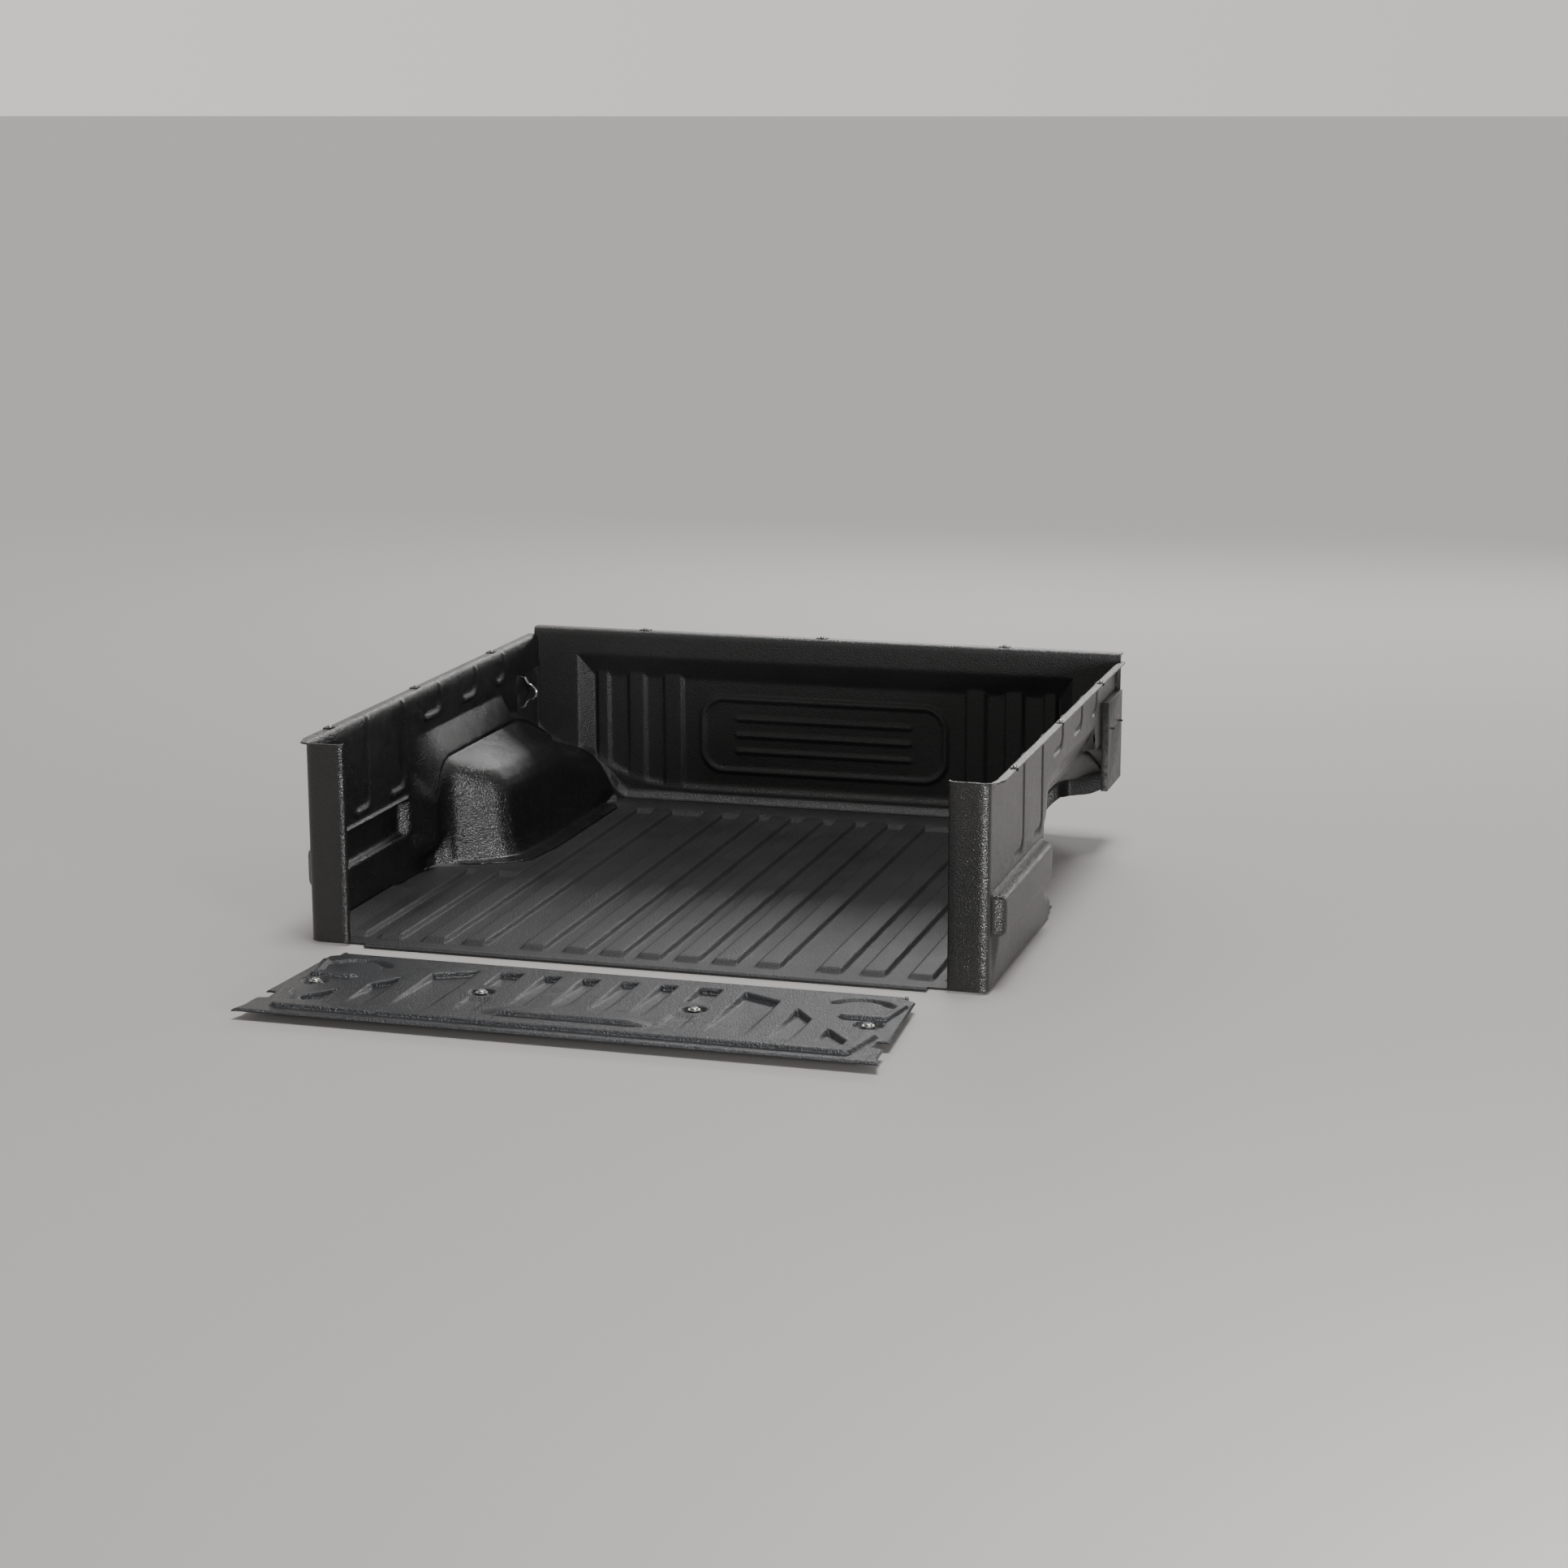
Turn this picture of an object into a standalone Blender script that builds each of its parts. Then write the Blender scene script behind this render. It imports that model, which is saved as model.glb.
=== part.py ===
"""Five-piece under-rail bed liner for a double-cab pickup, with its fasteners.

Frame: +X is the truck's right, +Y points forward to the cab and +Z is up. The origin is on the
underside of the floor liner, in the middle of the flat strip along its rear edge.
The tailgate liner lies open, as its rest pose, and swings up about TAILGATE_AXIS.
"""
import math

import bmesh
import bpy
from mathutils import Vector

# ---------------------------------------------------------------- driving dimensions, metres
SHEET = 0.004                 # wall thickness of every moulded panel
GAP = 0.0003                  # clearance between pieces that touch

RIB_CENTRES = (0.0, 0.090, 0.179, 0.282, 0.4255, 0.526, 0.636)   # corrugation, half width
RIB_HALF_TOP = 0.024
RIB_FLANK = 0.008
GROOVE_LEVEL = SHEET          # upper face of the floor's grooves
RIB_LEVEL = 0.014             # upper face of the floor's ribs

FLOOR_REAR = -0.048
FLOOR_FRONT = 1.488
FLOOR_REAR_HALF = 0.668       # half width of the rolled rear edge
FLOOR_WIDE_HALF = 0.797       # half width behind the wheel arches
FLOOR_NARROW_HALF = 0.585     # half width between the wheel arches
NARROW_FROM_Y = 0.785         # where the floor steps in to that width, hidden under the arch's flange
RAMP_TOP_LEVEL = 0.0258       # upper face of the floor where it meets the front wall

WALL_X = 0.800                # inner face of the side walls
SIDE_TOP = 0.475
SIDE_FRONT = 1.483
REAR_OPENING_HALF = 0.713
ARCH_REAR = 0.660
ARCH_TOP = 0.286
ARCH_CORNER = 0.085           # corner radius of the arch outline
ARCH_FOOT_X = 0.765           # wall side of the arch box
HOOKED_RIBS = ((0.317, 0.247, 0.080), (0.530, 0.247, 0.080), (0.770, 0.394, 0.095), (1.015, 0.394, 0.085),
               (1.215, 0.394, 0.045))     # place along the bed, height of the hook, its reach

FRAME_Y = 1.490               # rear face of the front wall's frame
FIELD_Y = 1.522               # rear face of its recessed field
FRONT_TOP = 0.493
FRONT_HALF = 0.812
FRONT_RIBS = ((0.400, 0.447), (0.507, 0.549), (0.612, 0.640))
FRONT_RIB_RISE = 0.007

GATE_LEVEL = 0.0245           # upper face of the open tailgate liner
GATE_GROOVE_LEVEL = 0.0125
GATE_BEAD_RISE = 0.008
GATE_BEAD_LINES = (-0.565, -0.573, -0.603, -0.611)
GATE_HINGE_EDGE = -0.173
GATE_OUTER_EDGE = -0.644
GATE_BOLTS = ((0.242, -0.386), (0.628, -0.399))
GATE_DISH = 0.0015            # depth of the dish that each bolt sits in
TAILGATE_AXIS = (0.0, -0.110, -0.016)

HOOK_Y = 1.395
HOOK_Z = 0.326
HOOK_OPENING_Y = 1.310        # the opening for the hook runs from here to the front edge
HOOK_OPENING_HIGH = 0.386
POCKET_FLOOR_X = 0.8185       # inner face of the pocket's floor, which carries the hook
POCKET_SHELL = 0.003
CLIP_Y = (0.14, 0.66, 1.18)   # clips along each side rail
CLIP_X = (-0.50, 0.0, 0.50)   # clips along the front rail

BLACK_PLASTIC = ((0.022, 0.022, 0.024), 0.62, 0.0)
GATE_PLASTIC = ((0.034, 0.035, 0.040), 0.58, 0.0)
ZINC = ((0.62, 0.62, 0.60), 0.35, 1.0)
CHROME = ((0.80, 0.80, 0.80), 0.12, 1.0)
BLACK_STEEL = ((0.020, 0.020, 0.022), 0.45, 0.6)


# ---------------------------------------------------------------- small helpers
def clear_scene():
    for old in list(bpy.data.objects):
        bpy.data.objects.remove(old, do_unlink=True)


def material(name, look):
    found = bpy.data.materials.get(name)
    if found:
        return found
    colour, roughness, metallic = look
    made = bpy.data.materials.new(name)
    made.use_nodes = True
    shader = made.node_tree.nodes["Principled BSDF"]
    shader.inputs["Base Color"].default_value = (*colour, 1.0)
    shader.inputs["Roughness"].default_value = roughness
    shader.inputs["Metallic"].default_value = metallic
    return made


def add_object(name, mesh, look_name, look, parent=None):
    piece = bpy.data.objects.new(name, mesh)
    bpy.context.scene.collection.objects.link(piece)
    mesh.materials.append(material(look_name, look))
    if parent:
        piece.parent = parent
        piece.matrix_parent_inverse = parent.matrix_world.inverted()
    return piece


def clamp(value, low=0.0, high=1.0):
    return max(low, min(high, value))


def ramp(value, start, end):
    """0 before start, 1 after end, straight in between."""
    return clamp((value - start) / (end - start))


def interpolate(value, table):
    """Straight-line lookup in a short table of (place, height) pairs."""
    if value <= table[0][0]:
        return table[0][1]
    for (x0, y0), (x1, y1) in zip(table, table[1:]):
        if value <= x1:
            return y0 + (y1 - y0) * (value - x0) / (x1 - x0)
    return table[-1][1]


def panel_mesh(name, rows, keep=None, flip=False):
    """An open sheet over rows of points; keep(centre) drops the cells outside the outline."""
    build = bmesh.new()
    verts = [[build.verts.new(point) for point in row] for row in rows]
    for i in range(len(rows) - 1):
        for j in range(len(rows[0]) - 1):
            corners = [verts[i][j], verts[i][j + 1], verts[i + 1][j + 1], verts[i + 1][j]]
            centre = sum((v.co for v in corners), Vector()) / 4
            if keep and not keep(centre):
                continue
            build.faces.new(corners[::-1] if flip else corners)
    loose = [v for v in build.verts if not v.link_faces]
    bmesh.ops.delete(build, geom=loose, context="VERTS")
    mesh = bpy.data.meshes.new(name)
    build.to_mesh(mesh)
    build.free()
    return mesh


def thicken(piece):
    """Give a sheet its thickness on the side away from its normals."""
    solid = piece.modifiers.new("Sheet", "SOLIDIFY")
    solid.thickness = SHEET
    solid.offset = -1.0
    solid.use_rim = True


def cutter(name, mesh):
    tool = bpy.data.objects.new(name, mesh)
    bpy.context.scene.collection.objects.link(tool)
    tool.hide_render = True
    tool.display_type = "WIRE"
    return tool


def boolean(piece, tool, operation):
    cut = piece.modifiers.new(tool.name, "BOOLEAN")
    cut.operation = operation
    cut.solver = "EXACT"
    cut.object = tool


def lathe_mesh(name, profile, origin, axis, sides):
    """A closed turned solid; profile is (radius, height) from the bottom axis point to the top."""
    axis = Vector(axis).normalized()
    side = axis.orthogonal().normalized()
    across = axis.cross(side)
    build = bmesh.new()
    rings = []
    for radius, height in profile:
        centre = Vector(origin) + axis * height
        if radius == 0.0:
            rings.append([build.verts.new(centre)])
            continue
        ring = []
        for k in range(sides):
            turn = 2 * math.pi * k / sides
            ring.append(build.verts.new(centre + radius * (math.cos(turn) * side + math.sin(turn) * across)))
        rings.append(ring)
    for low, high in zip(rings, rings[1:]):
        for k in range(sides):
            n = (k + 1) % sides
            if len(low) == 1:
                build.faces.new((low[0], high[n], high[k]))
            elif len(high) == 1:
                build.faces.new((low[k], low[n], high[0]))
            else:
                build.faces.new((low[k], low[n], high[n], high[k]))
    mesh = bpy.data.meshes.new(name)
    build.to_mesh(mesh)
    build.free()
    mesh.shade_smooth()
    mesh.set_sharp_from_angle(angle=math.radians(40))
    return mesh


def ring_mesh(name, inner, outer, low, high, origin, axis, sides):
    """A closed washer or nut between two radii and two heights."""
    axis = Vector(axis).normalized()
    side = axis.orthogonal().normalized()
    across = axis.cross(side)
    corners = ((outer, low), (outer, high), (inner, high), (inner, low))
    build = bmesh.new()
    rings = []
    for k in range(sides):
        turn = 2 * math.pi * k / sides
        out = math.cos(turn) * side + math.sin(turn) * across
        rings.append([build.verts.new(Vector(origin) + axis * h + out * r) for r, h in corners])
    for k in range(sides):
        n = (k + 1) % sides
        for c in range(4):
            d = (c + 1) % 4
            build.faces.new((rings[k][c], rings[n][c], rings[n][d], rings[k][d]))
    mesh = bpy.data.meshes.new(name)
    build.to_mesh(mesh)
    build.free()
    return mesh


def prism_mesh(name, outline, start, end, plane="XZ"):
    """An outline extruded along Y (plane XZ) or along X (plane YZ) between two stations."""
    def place(point, along):
        return Vector((point[0], along, point[1])) if plane == "XZ" else Vector((along, point[0], point[1]))

    build = bmesh.new()
    first = [build.verts.new(place(p, start)) for p in outline]
    last = [build.verts.new(place(p, end)) for p in outline]
    build.faces.new(first)
    build.faces.new(last[::-1])
    for k in range(len(outline)):
        n = (k + 1) % len(outline)
        build.faces.new((first[n], first[k], last[k], last[n]))
    bmesh.ops.recalc_face_normals(build, faces=build.faces)
    mesh = bpy.data.meshes.new(name)
    build.to_mesh(mesh)
    build.free()
    return mesh


def bead_mesh(name, path, half, rise, place, closed=False):
    """A raised bead of trapezoid section along a flat path; place(a, b, height) gives the point."""
    count = len(path)
    build = bmesh.new()
    rings = []
    for k in range(count):
        here = Vector(path[k])
        before = Vector(path[k - 1]) if closed or k > 0 else None
        after = Vector(path[(k + 1) % count]) if closed or k < count - 1 else None
        into = (here - before).normalized() if before else (after - here).normalized()
        out = (after - here).normalized() if after else into
        along = (into + out).normalized()
        across = Vector((-along.y, along.x)) / max(0.5, along.dot(into))
        ring = []
        for shift, height in ((-half, -0.002), (-0.6 * half, rise), (0.6 * half, rise), (half, -0.002)):
            spot = here + across * shift
            ring.append(build.verts.new(place(spot.x, spot.y, height)))
        rings.append(ring)
    for k in range(count if closed else count - 1):
        n = (k + 1) % count
        for c in range(4):
            d = (c + 1) % 4
            build.faces.new((rings[k][c], rings[n][c], rings[n][d], rings[k][d]))
    if not closed:
        build.faces.new(rings[0])
        build.faces.new(rings[-1])
    bmesh.ops.recalc_face_normals(build, faces=build.faces)
    mesh = bpy.data.meshes.new(name)
    build.to_mesh(mesh)
    build.free()
    return mesh


def rounded_loop(half_a, half_b, radius, middle, steps):
    """A rounded rectangle as a closed list of points."""
    points = []
    for quarter, (sa, sb) in enumerate(((1, 1), (-1, 1), (-1, -1), (1, -1))):
        for k in range(steps + 1):
            turn = math.pi / 2 * (quarter + k / steps)
            points.append((sa * (half_a - radius) + radius * math.cos(turn),
                           middle + sb * (half_b - radius) + radius * math.sin(turn)))
    return points


def peg_mesh(name, origin, axis, radius, reach, sides=12):
    """A round cutter centred on origin."""
    profile = ((0.0, -reach), (radius, -reach), (radius, reach), (0.0, reach))
    return lathe_mesh(name, profile, origin, axis, sides)


def cut(piece, tag, meshes, operation="DIFFERENCE"):
    """Take several separate solids out of a piece in one go, or add them to it."""
    build = bmesh.new()
    for mesh in meshes:
        build.from_mesh(mesh)
    joined = bpy.data.meshes.new(f"{piece.name}_{tag}")
    build.to_mesh(joined)
    build.free()
    boolean(piece, cutter(f"{piece.name}_{tag}", joined), operation)


# ---------------------------------------------------------------- corrugation
def rib_share(x):
    """1 on top of a rib, 0 in a groove."""
    x = abs(x)
    if x > RIB_CENTRES[-1] + 0.055:
        return ramp(x, 0.691, 0.699)
    share = 0.0
    for centre in RIB_CENTRES:
        share = max(share, 1.0 - ramp(abs(x - centre), RIB_HALF_TOP, RIB_HALF_TOP + RIB_FLANK))
    return share


def corrugation_lines(limit):
    """The x places where the corrugation bends, up to a half width."""
    reach = (-RIB_HALF_TOP - RIB_FLANK, -RIB_HALF_TOP, RIB_HALF_TOP, RIB_HALF_TOP + RIB_FLANK)
    places = set()
    for centre in RIB_CENTRES:
        for step in reach:
            for sign in (-1, 1):
                place = round(sign * (centre + step), 5)
                if abs(place) < limit:
                    places.add(place)
    return sorted(places)


# ---------------------------------------------------------------- floor liner
def floor_level(x, y):
    """Height of the floor liner's upper face."""
    side = abs(x)
    share = rib_share(x) * ramp(y, 0.025, 0.045)
    raised_front = ramp(y, 1.408, 1.435)
    raised_arch = ramp(y, 0.645, 0.680) if side > 0.553 else 0.0
    level = GROOVE_LEVEL + (RIB_LEVEL - GROOVE_LEVEL) * max(share, raised_front, raised_arch)
    level += (RAMP_TOP_LEVEL - RIB_LEVEL) * ramp(y, 1.435, FLOOR_FRONT)
    level += 0.009 * ramp(side, 0.735, FLOOR_WIDE_HALF) * (1.0 - ramp(y, 0.430, 0.475)) * ramp(y, 0.0, 0.045)
    lip = ((FLOOR_REAR, 0.0045), (-0.043, 0.0082), (-0.034, 0.0095), (-0.026, 0.0075), (-0.021, GROOVE_LEVEL))
    return level if y >= lip[-1][0] else interpolate(y, lip)


def build_floor():
    inner = corrugation_lines(0.67)
    outer = (FLOOR_REAR_HALF, 0.691, 0.699, 0.735, FLOOR_WIDE_HALF)
    across = sorted(inner + [s * x for x in outer for s in (-1, 1)] + [-FLOOR_NARROW_HALF, FLOOR_NARROW_HALF])
    along = (FLOOR_REAR, -0.043, -0.034, -0.026, -0.021, 0.0, 0.025, 0.045, 0.430, 0.475, 0.645, 0.680,
             0.705, NARROW_FROM_Y, 1.408, 1.435, FLOOR_FRONT)
    rows = [[Vector((x, y, floor_level(x, y))) for x in across] for y in along]

    def inside(centre):
        if abs(centre.x) > FLOOR_NARROW_HALF and centre.y > NARROW_FROM_Y or abs(centre.x) > 0.735 and centre.y > 0.705:
            return False
        return abs(centre.x) < FLOOR_REAR_HALF or centre.y > -0.021

    floor = add_object("floor_liner", panel_mesh("floor_liner", rows, inside), "black_plastic", BLACK_PLASTIC)
    thicken(floor)


# ---------------------------------------------------------------- front wall liner
def toe_line(side):
    """Height of the upper toe edge, which sweeps up round the wheel arch."""
    return interpolate(side, ((0.36, 0.058), (0.45, 0.062), (0.494, 0.068), (0.541, 0.081), (0.588, 0.099),
                              (0.640, 0.126), (0.677, 0.154), (0.740, 0.166), (0.780, 0.185),
                              (FRONT_HALF, 0.226)))


def foot_line(side):
    """Height of the lowest edge of the front wall liner."""
    return interpolate(side, ((0.556, RAMP_TOP_LEVEL + 0.002), (0.580, 0.045), (0.605, 0.080), (0.630, 0.112),
                              (0.655, 0.134), (0.700, 0.146), (0.740, 0.152), (0.780, 0.171),
                              (FRONT_HALF, 0.212)))


def field_share(side):
    """0 on the frame at the side, 1 on the recessed field."""
    return 1.0 - ramp(side, 0.652, 0.690)


def front_profile(x):
    """Points (y, z) of the front wall's visible face from its foot to its top lip."""
    side = abs(x)
    recess = (FIELD_Y - FRAME_Y) * field_share(side)
    rib = any(low <= side <= high for low, high in FRONT_RIBS)
    wall = FRAME_Y + recess - (FRONT_RIB_RISE if rib else 0.0)
    foot, toe = foot_line(side), toe_line(side)
    tread = min(0.020, (toe - foot) * 0.6)
    ledge_y = max(FRAME_Y + recess - 0.0115, SIDE_FRONT + 0.0018)
    foot_y = ledge_y - tread * field_share(side)
    top_of_field = 0.422 - 0.059 * (wall - FRAME_Y) / (FIELD_Y - FRAME_Y)
    skirt = foot - 0.012 - 0.023 * ramp(side, 0.550, 0.605)
    return (
        (max(foot_y - 0.0005 - 0.0055 * (1.0 - ramp(side, 0.550, 0.565)), SIDE_FRONT + 0.0015), skirt),
        (foot_y, skirt),
        (foot_y, foot),
        (ledge_y - 0.0005, foot + tread),
        (ledge_y, toe - 0.003),
        (ledge_y + 0.001, toe),
        (wall, toe + 0.0125),
        (wall, top_of_field),
        (FRAME_Y, 0.422 + 0.0005),
        (FRAME_Y, FRONT_TOP - 0.010),
        (FRAME_Y + 0.004, FRONT_TOP),
        (FRAME_Y + 0.034, FRONT_TOP),
    )


def build_front_wall():
    step = 0.0008
    half = [0.0, 0.20, 0.36, 0.470, 0.494, 0.556, 0.565, 0.588, 0.605, 0.655, 0.677, 0.690, 0.720, 0.745,
            0.780, FRONT_HALF]
    for low, high in FRONT_RIBS:
        half += [low - 0.006 - step, low, high, high + 0.006 + step]
    across = sorted({round(sign * x, 5) for x in half for sign in (-1, 1)})
    rows = [[Vector((x, y, z)) for y, z in front_profile(x)] for x in across]
    wall = add_object("front_wall_liner", panel_mesh("front_wall_liner", rows, flip=True), "black_plastic",
                      BLACK_PLASTIC)
    thicken(wall)
    middle = 0.214

    def on_field(a, b, height):
        return Vector((a, FIELD_Y - height, b))

    beads = [bead_mesh("panel_frame", rounded_loop(0.340, 0.100, 0.060, middle, 4), 0.009, 0.006, on_field,
                       True)]
    beads += [bead_mesh("panel_bar", [(-0.240, middle + step), (0.240, middle + step)], 0.008, 0.005, on_field)
              for step in (-0.045, 0.0, 0.045)]
    cut(wall, "plain_panel", beads, "UNION")
    cut(wall, "screw_holes", [peg_mesh("hole", (x, FRAME_Y + 0.024, FRONT_TOP), (0, 0, 1), 0.0029, 0.012)
                              for x in CLIP_X])


# ---------------------------------------------------------------- side liners
def seam_x(y):
    """Where the side liner's lower edge meets the floor."""
    return interpolate(y, ((0.645, 0.8005), (0.680, 0.782), (0.700, 0.725), (0.716, 0.673), (0.754, 0.605),
                           (0.798, 0.570), (0.930, 0.556), (1.415, 0.555), (1.450, 0.566), (SIDE_FRONT, 0.580)))


def seam_z(y):
    """Height of that edge: beside the floor at the rear, on top of it round the arch."""
    flange = RIB_LEVEL + GAP + SHEET + 0.0004
    edge = interpolate(y, ((0.600, 0.006), (0.645, RIB_LEVEL + GAP + 0.0003), (0.690, flange)))
    return edge + (RAMP_TOP_LEVEL + 0.006 - RIB_LEVEL) * ramp(y, 1.432, SIDE_FRONT)


def arch_foot(y):
    """Distance of the arch box's foot from the centre line: wall side at the rear, then its full width."""
    return interpolate(y, ((0.664, 0.765), (0.690, 0.755), (0.715, 0.738), (0.745, 0.690), (0.785, 0.637),
                           (0.820, 0.612), (0.920, 0.600), (1.415, 0.598), (SIDE_FRONT, 0.586)))


def arch_top(y):
    """Height of the valley between the arch box and its collar."""
    reach = clamp((y - ARCH_REAR) / ARCH_CORNER)
    rear = ARCH_TOP - ARCH_CORNER * (1.0 - math.sqrt(1.0 - (1.0 - reach) ** 2))
    front = ARCH_TOP - 0.106 * ramp(y, 1.195, SIDE_FRONT) ** 1.5
    return min(rear, front)


def opening_low(y):
    """Lower edge of the hook opening, which follows the collar down to the front."""
    return interpolate(y, ((1.290, 0.300), (HOOK_OPENING_Y, 0.283), (1.369, 0.240), (1.418, 0.214),
                           (SIDE_FRONT, 0.196)))


def rear_section(y):
    """The side liner's section behind the wheel arch: pocket, ledge and plain wall."""
    low = seam_z(y)
    fade = ramp(y, 0.0, 0.015) * (1.0 - ramp(y, 0.535, 0.555))
    lower = 0.012 * ramp(y, 0.0, 0.015) * (1.0 - ramp(y, 0.50, 0.60))
    return [
        (WALL_X + 0.0005, low), (WALL_X + 0.002, low + 0.018), (WALL_X + 0.4 * lower, 0.055),
        (WALL_X + 0.8 * lower, 0.090), (WALL_X + lower, 0.121), (WALL_X + 0.028 * fade, 0.128),
        (WALL_X + 0.028 * fade, 0.205), (WALL_X + 0.006 * fade, 0.212), (WALL_X - 0.006 * fade, 0.219),
        (WALL_X, 0.228), (WALL_X, 0.300), (WALL_X, 0.360),
    ]


def arch_section(y):
    """The side liner's section over the wheel arch: foot flange, box, valley and collar."""
    foot, low = seam_x(y), seam_z(y)
    base = arch_foot(y)
    share = (ARCH_FOOT_X - base) / (ARCH_FOOT_X - 0.600)
    top = arch_top(y)
    squat = top / ARCH_TOP
    inner = max(base, foot)
    collar_x = WALL_X - (WALL_X - ARCH_FOOT_X) * ramp(y, 0.575, ARCH_REAR - 0.004)
    collar_top = min(0.359, opening_low(y) - 0.004) if y > 1.2 else 0.359
    box = [
        (inner + 0.012 * share, low + 0.040 * squat), (base + 0.019 * share, low + 0.095 * squat),
        (base + 0.024 * share, top - 0.116 * squat), (base + 0.030 * share, top - 0.092 * squat),
        (base + 0.042 * share, top - 0.070 * squat), (base + 0.067 * share, top - 0.043 * squat),
        (base + 0.112 * share, top - 0.024 * squat),
    ]
    front_box = ((0.597, 0.066), (0.610, 0.092), (0.622, 0.112), (0.636, 0.130), (0.652, 0.147), (0.678, 0.160),
                 (0.720, 0.168))
    mix = ramp(y, 0.980, SIDE_FRONT) ** 2
    box = [((1 - mix) * x + mix * u, (1 - mix) * z + mix * v) for (x, z), (u, v) in zip(box, front_box)]
    return [(foot, low), (inner, low + 0.003)] + box + [
        (ARCH_FOOT_X + 0.003, top - 0.002), (collar_x + 0.002, top + 0.008),
        (WALL_X, collar_top),
    ]


def side_profile(y):
    """Points (distance from the centre line, z) of the side liner's visible face, foot to rail."""
    mix = ramp(y, 0.560, ARCH_REAR - 0.010)
    section = [((1 - mix) * a[0] + mix * b[0], (1 - mix) * a[1] + mix * b[1])
               for a, b in zip(rear_section(y), arch_section(y))]
    above = 0.368 if y < 1.2 else min(0.368, opening_low(y))
    return section + [(WALL_X, above), (WALL_X, HOOK_OPENING_HIGH), (WALL_X, 0.455), (WALL_X + 0.003, 0.470),
                      (WALL_X + 0.008, SIDE_TOP), (WALL_X + 0.028, SIDE_TOP)]


def build_side(name, sign):
    stations = [0.0, 0.015, 0.30, 0.535, 0.555, 0.575, 0.60, 0.645, 0.656, 0.664, 0.672, 0.680, 0.690, 0.702,
                0.715, 0.730, 0.745, 0.765, 0.785, 0.802, 0.820, 0.865, 0.920, 1.05, 1.14, 1.20, 1.25, 1.285,
                HOOK_OPENING_Y, 1.34, 1.369, 1.395, 1.418, 1.450, SIDE_FRONT]
    rows = []
    levels = side_profile(0.0)
    for inset, place in ((REAR_OPENING_HALF + 0.001, -0.024), (REAR_OPENING_HALF, -0.031),
                         (REAR_OPENING_HALF + 0.006, -0.036), (WALL_X - 0.010, -0.036), (WALL_X, -0.028)):
        rows.append([Vector((sign * inset, place, z)) for x, z in levels[:-1]]
                    + [Vector((sign * (inset + 0.020 if inset > 0.79 else inset), place, SIDE_TOP))])
    for y in stations:
        rows.append([Vector((sign * x, y, z)) for x, z in side_profile(y)])
    for row in rows[:5]:
        row[-2].z = SIDE_TOP - 0.0015

    def outside_opening(centre):
        return not (centre.y > HOOK_OPENING_Y and opening_low(centre.y) + 0.001 < centre.z < HOOK_OPENING_HIGH)

    liner = add_object(name, panel_mesh(name, rows, outside_opening, flip=(sign < 0)), "black_plastic",
                       BLACK_PLASTIC)
    thicken(liner)
    holes = [peg_mesh("hole", (sign * (WALL_X + 0.019), y, SIDE_TOP), (0, 0, 1), 0.0029, 0.012) for y in CLIP_Y]

    def on_wall(a, b, height):
        return Vector((sign * (WALL_X - height), a, b))

    cut(liner, "hooked_ribs", [bead_mesh("hooked_rib", hooked_path(*rib), 0.011, 0.005, on_wall)
                               for rib in HOOKED_RIBS], "UNION")
    cut(liner, "screw_holes", holes)
    return liner


def hooked_path(place, low, reach):
    """A rib that runs straight down from the rail and then curls to the rear."""
    bend = 0.034
    path = [(place, 0.462)]
    for k in range(5):
        turn = math.pi / 2 * k / 4
        path.append((place - bend + bend * math.cos(turn), low + bend - bend * math.sin(turn)))
    return path + [(place - reach, low)]


# ---------------------------------------------------------------- tailgate liner
def gate_half(y):
    """Half width of the tailgate liner."""
    return interpolate(-y, ((0.173, 0.650), (0.190, 0.655), (0.206, 0.683), (0.498, 0.700), (0.504, 0.677),
                            (0.545, 0.677), (0.551, 0.700), (0.610, 0.703), (0.644, 0.713)))


def field_start(x):
    """The slanted hinge-side boundary of the corrugated field."""
    return -interpolate(abs(x), ((0.300, 0.225), (0.400, 0.275), (0.430, 0.290), (0.500, 0.385), (0.540, 0.425),
                                 (0.612, 0.515), (0.650, 0.530)))


def field_end(x):
    return -interpolate(abs(x), ((0.200, 0.470), (0.210, 0.545), (0.700, 0.545)))


def gate_field(x):
    """Points (y, height) of one line of the tailgate liner between its hinge band and its long bead."""
    side = abs(x)
    start = field_start(x)
    end = min(field_end(x), start - 0.025)
    depth = (GATE_LEVEL - GATE_GROOVE_LEVEL) * (1.0 - rib_share(x)) if side < 0.63 else 0.0
    fall = start - 0.005
    points = [(start, 0.0), (fall, -depth)]
    if 0.20 < side < 0.26:
        points += [(-0.329, -0.75 * depth), (-0.337, 0.0), (-0.418, 0.0), (-0.450, -0.40 * depth)]
    else:
        points += [(fall + (end - fall) * k / 5, -depth * (1 - k / 5)) for k in (1, 2, 3, 4)]
    points.append((end, 0.0))
    if side < 0.20:
        lift = GATE_BEAD_RISE * (1.0 - ramp(side, 0.147, 0.185))
        return points + [(-0.495, 0.0), (-0.501, lift), (-0.529, lift), (-0.535, 0.0)]
    return points + [(end + (GATE_BEAD_LINES[0] - end) * k / 5, 0.0) for k in (1, 2, 3, 4)]


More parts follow.
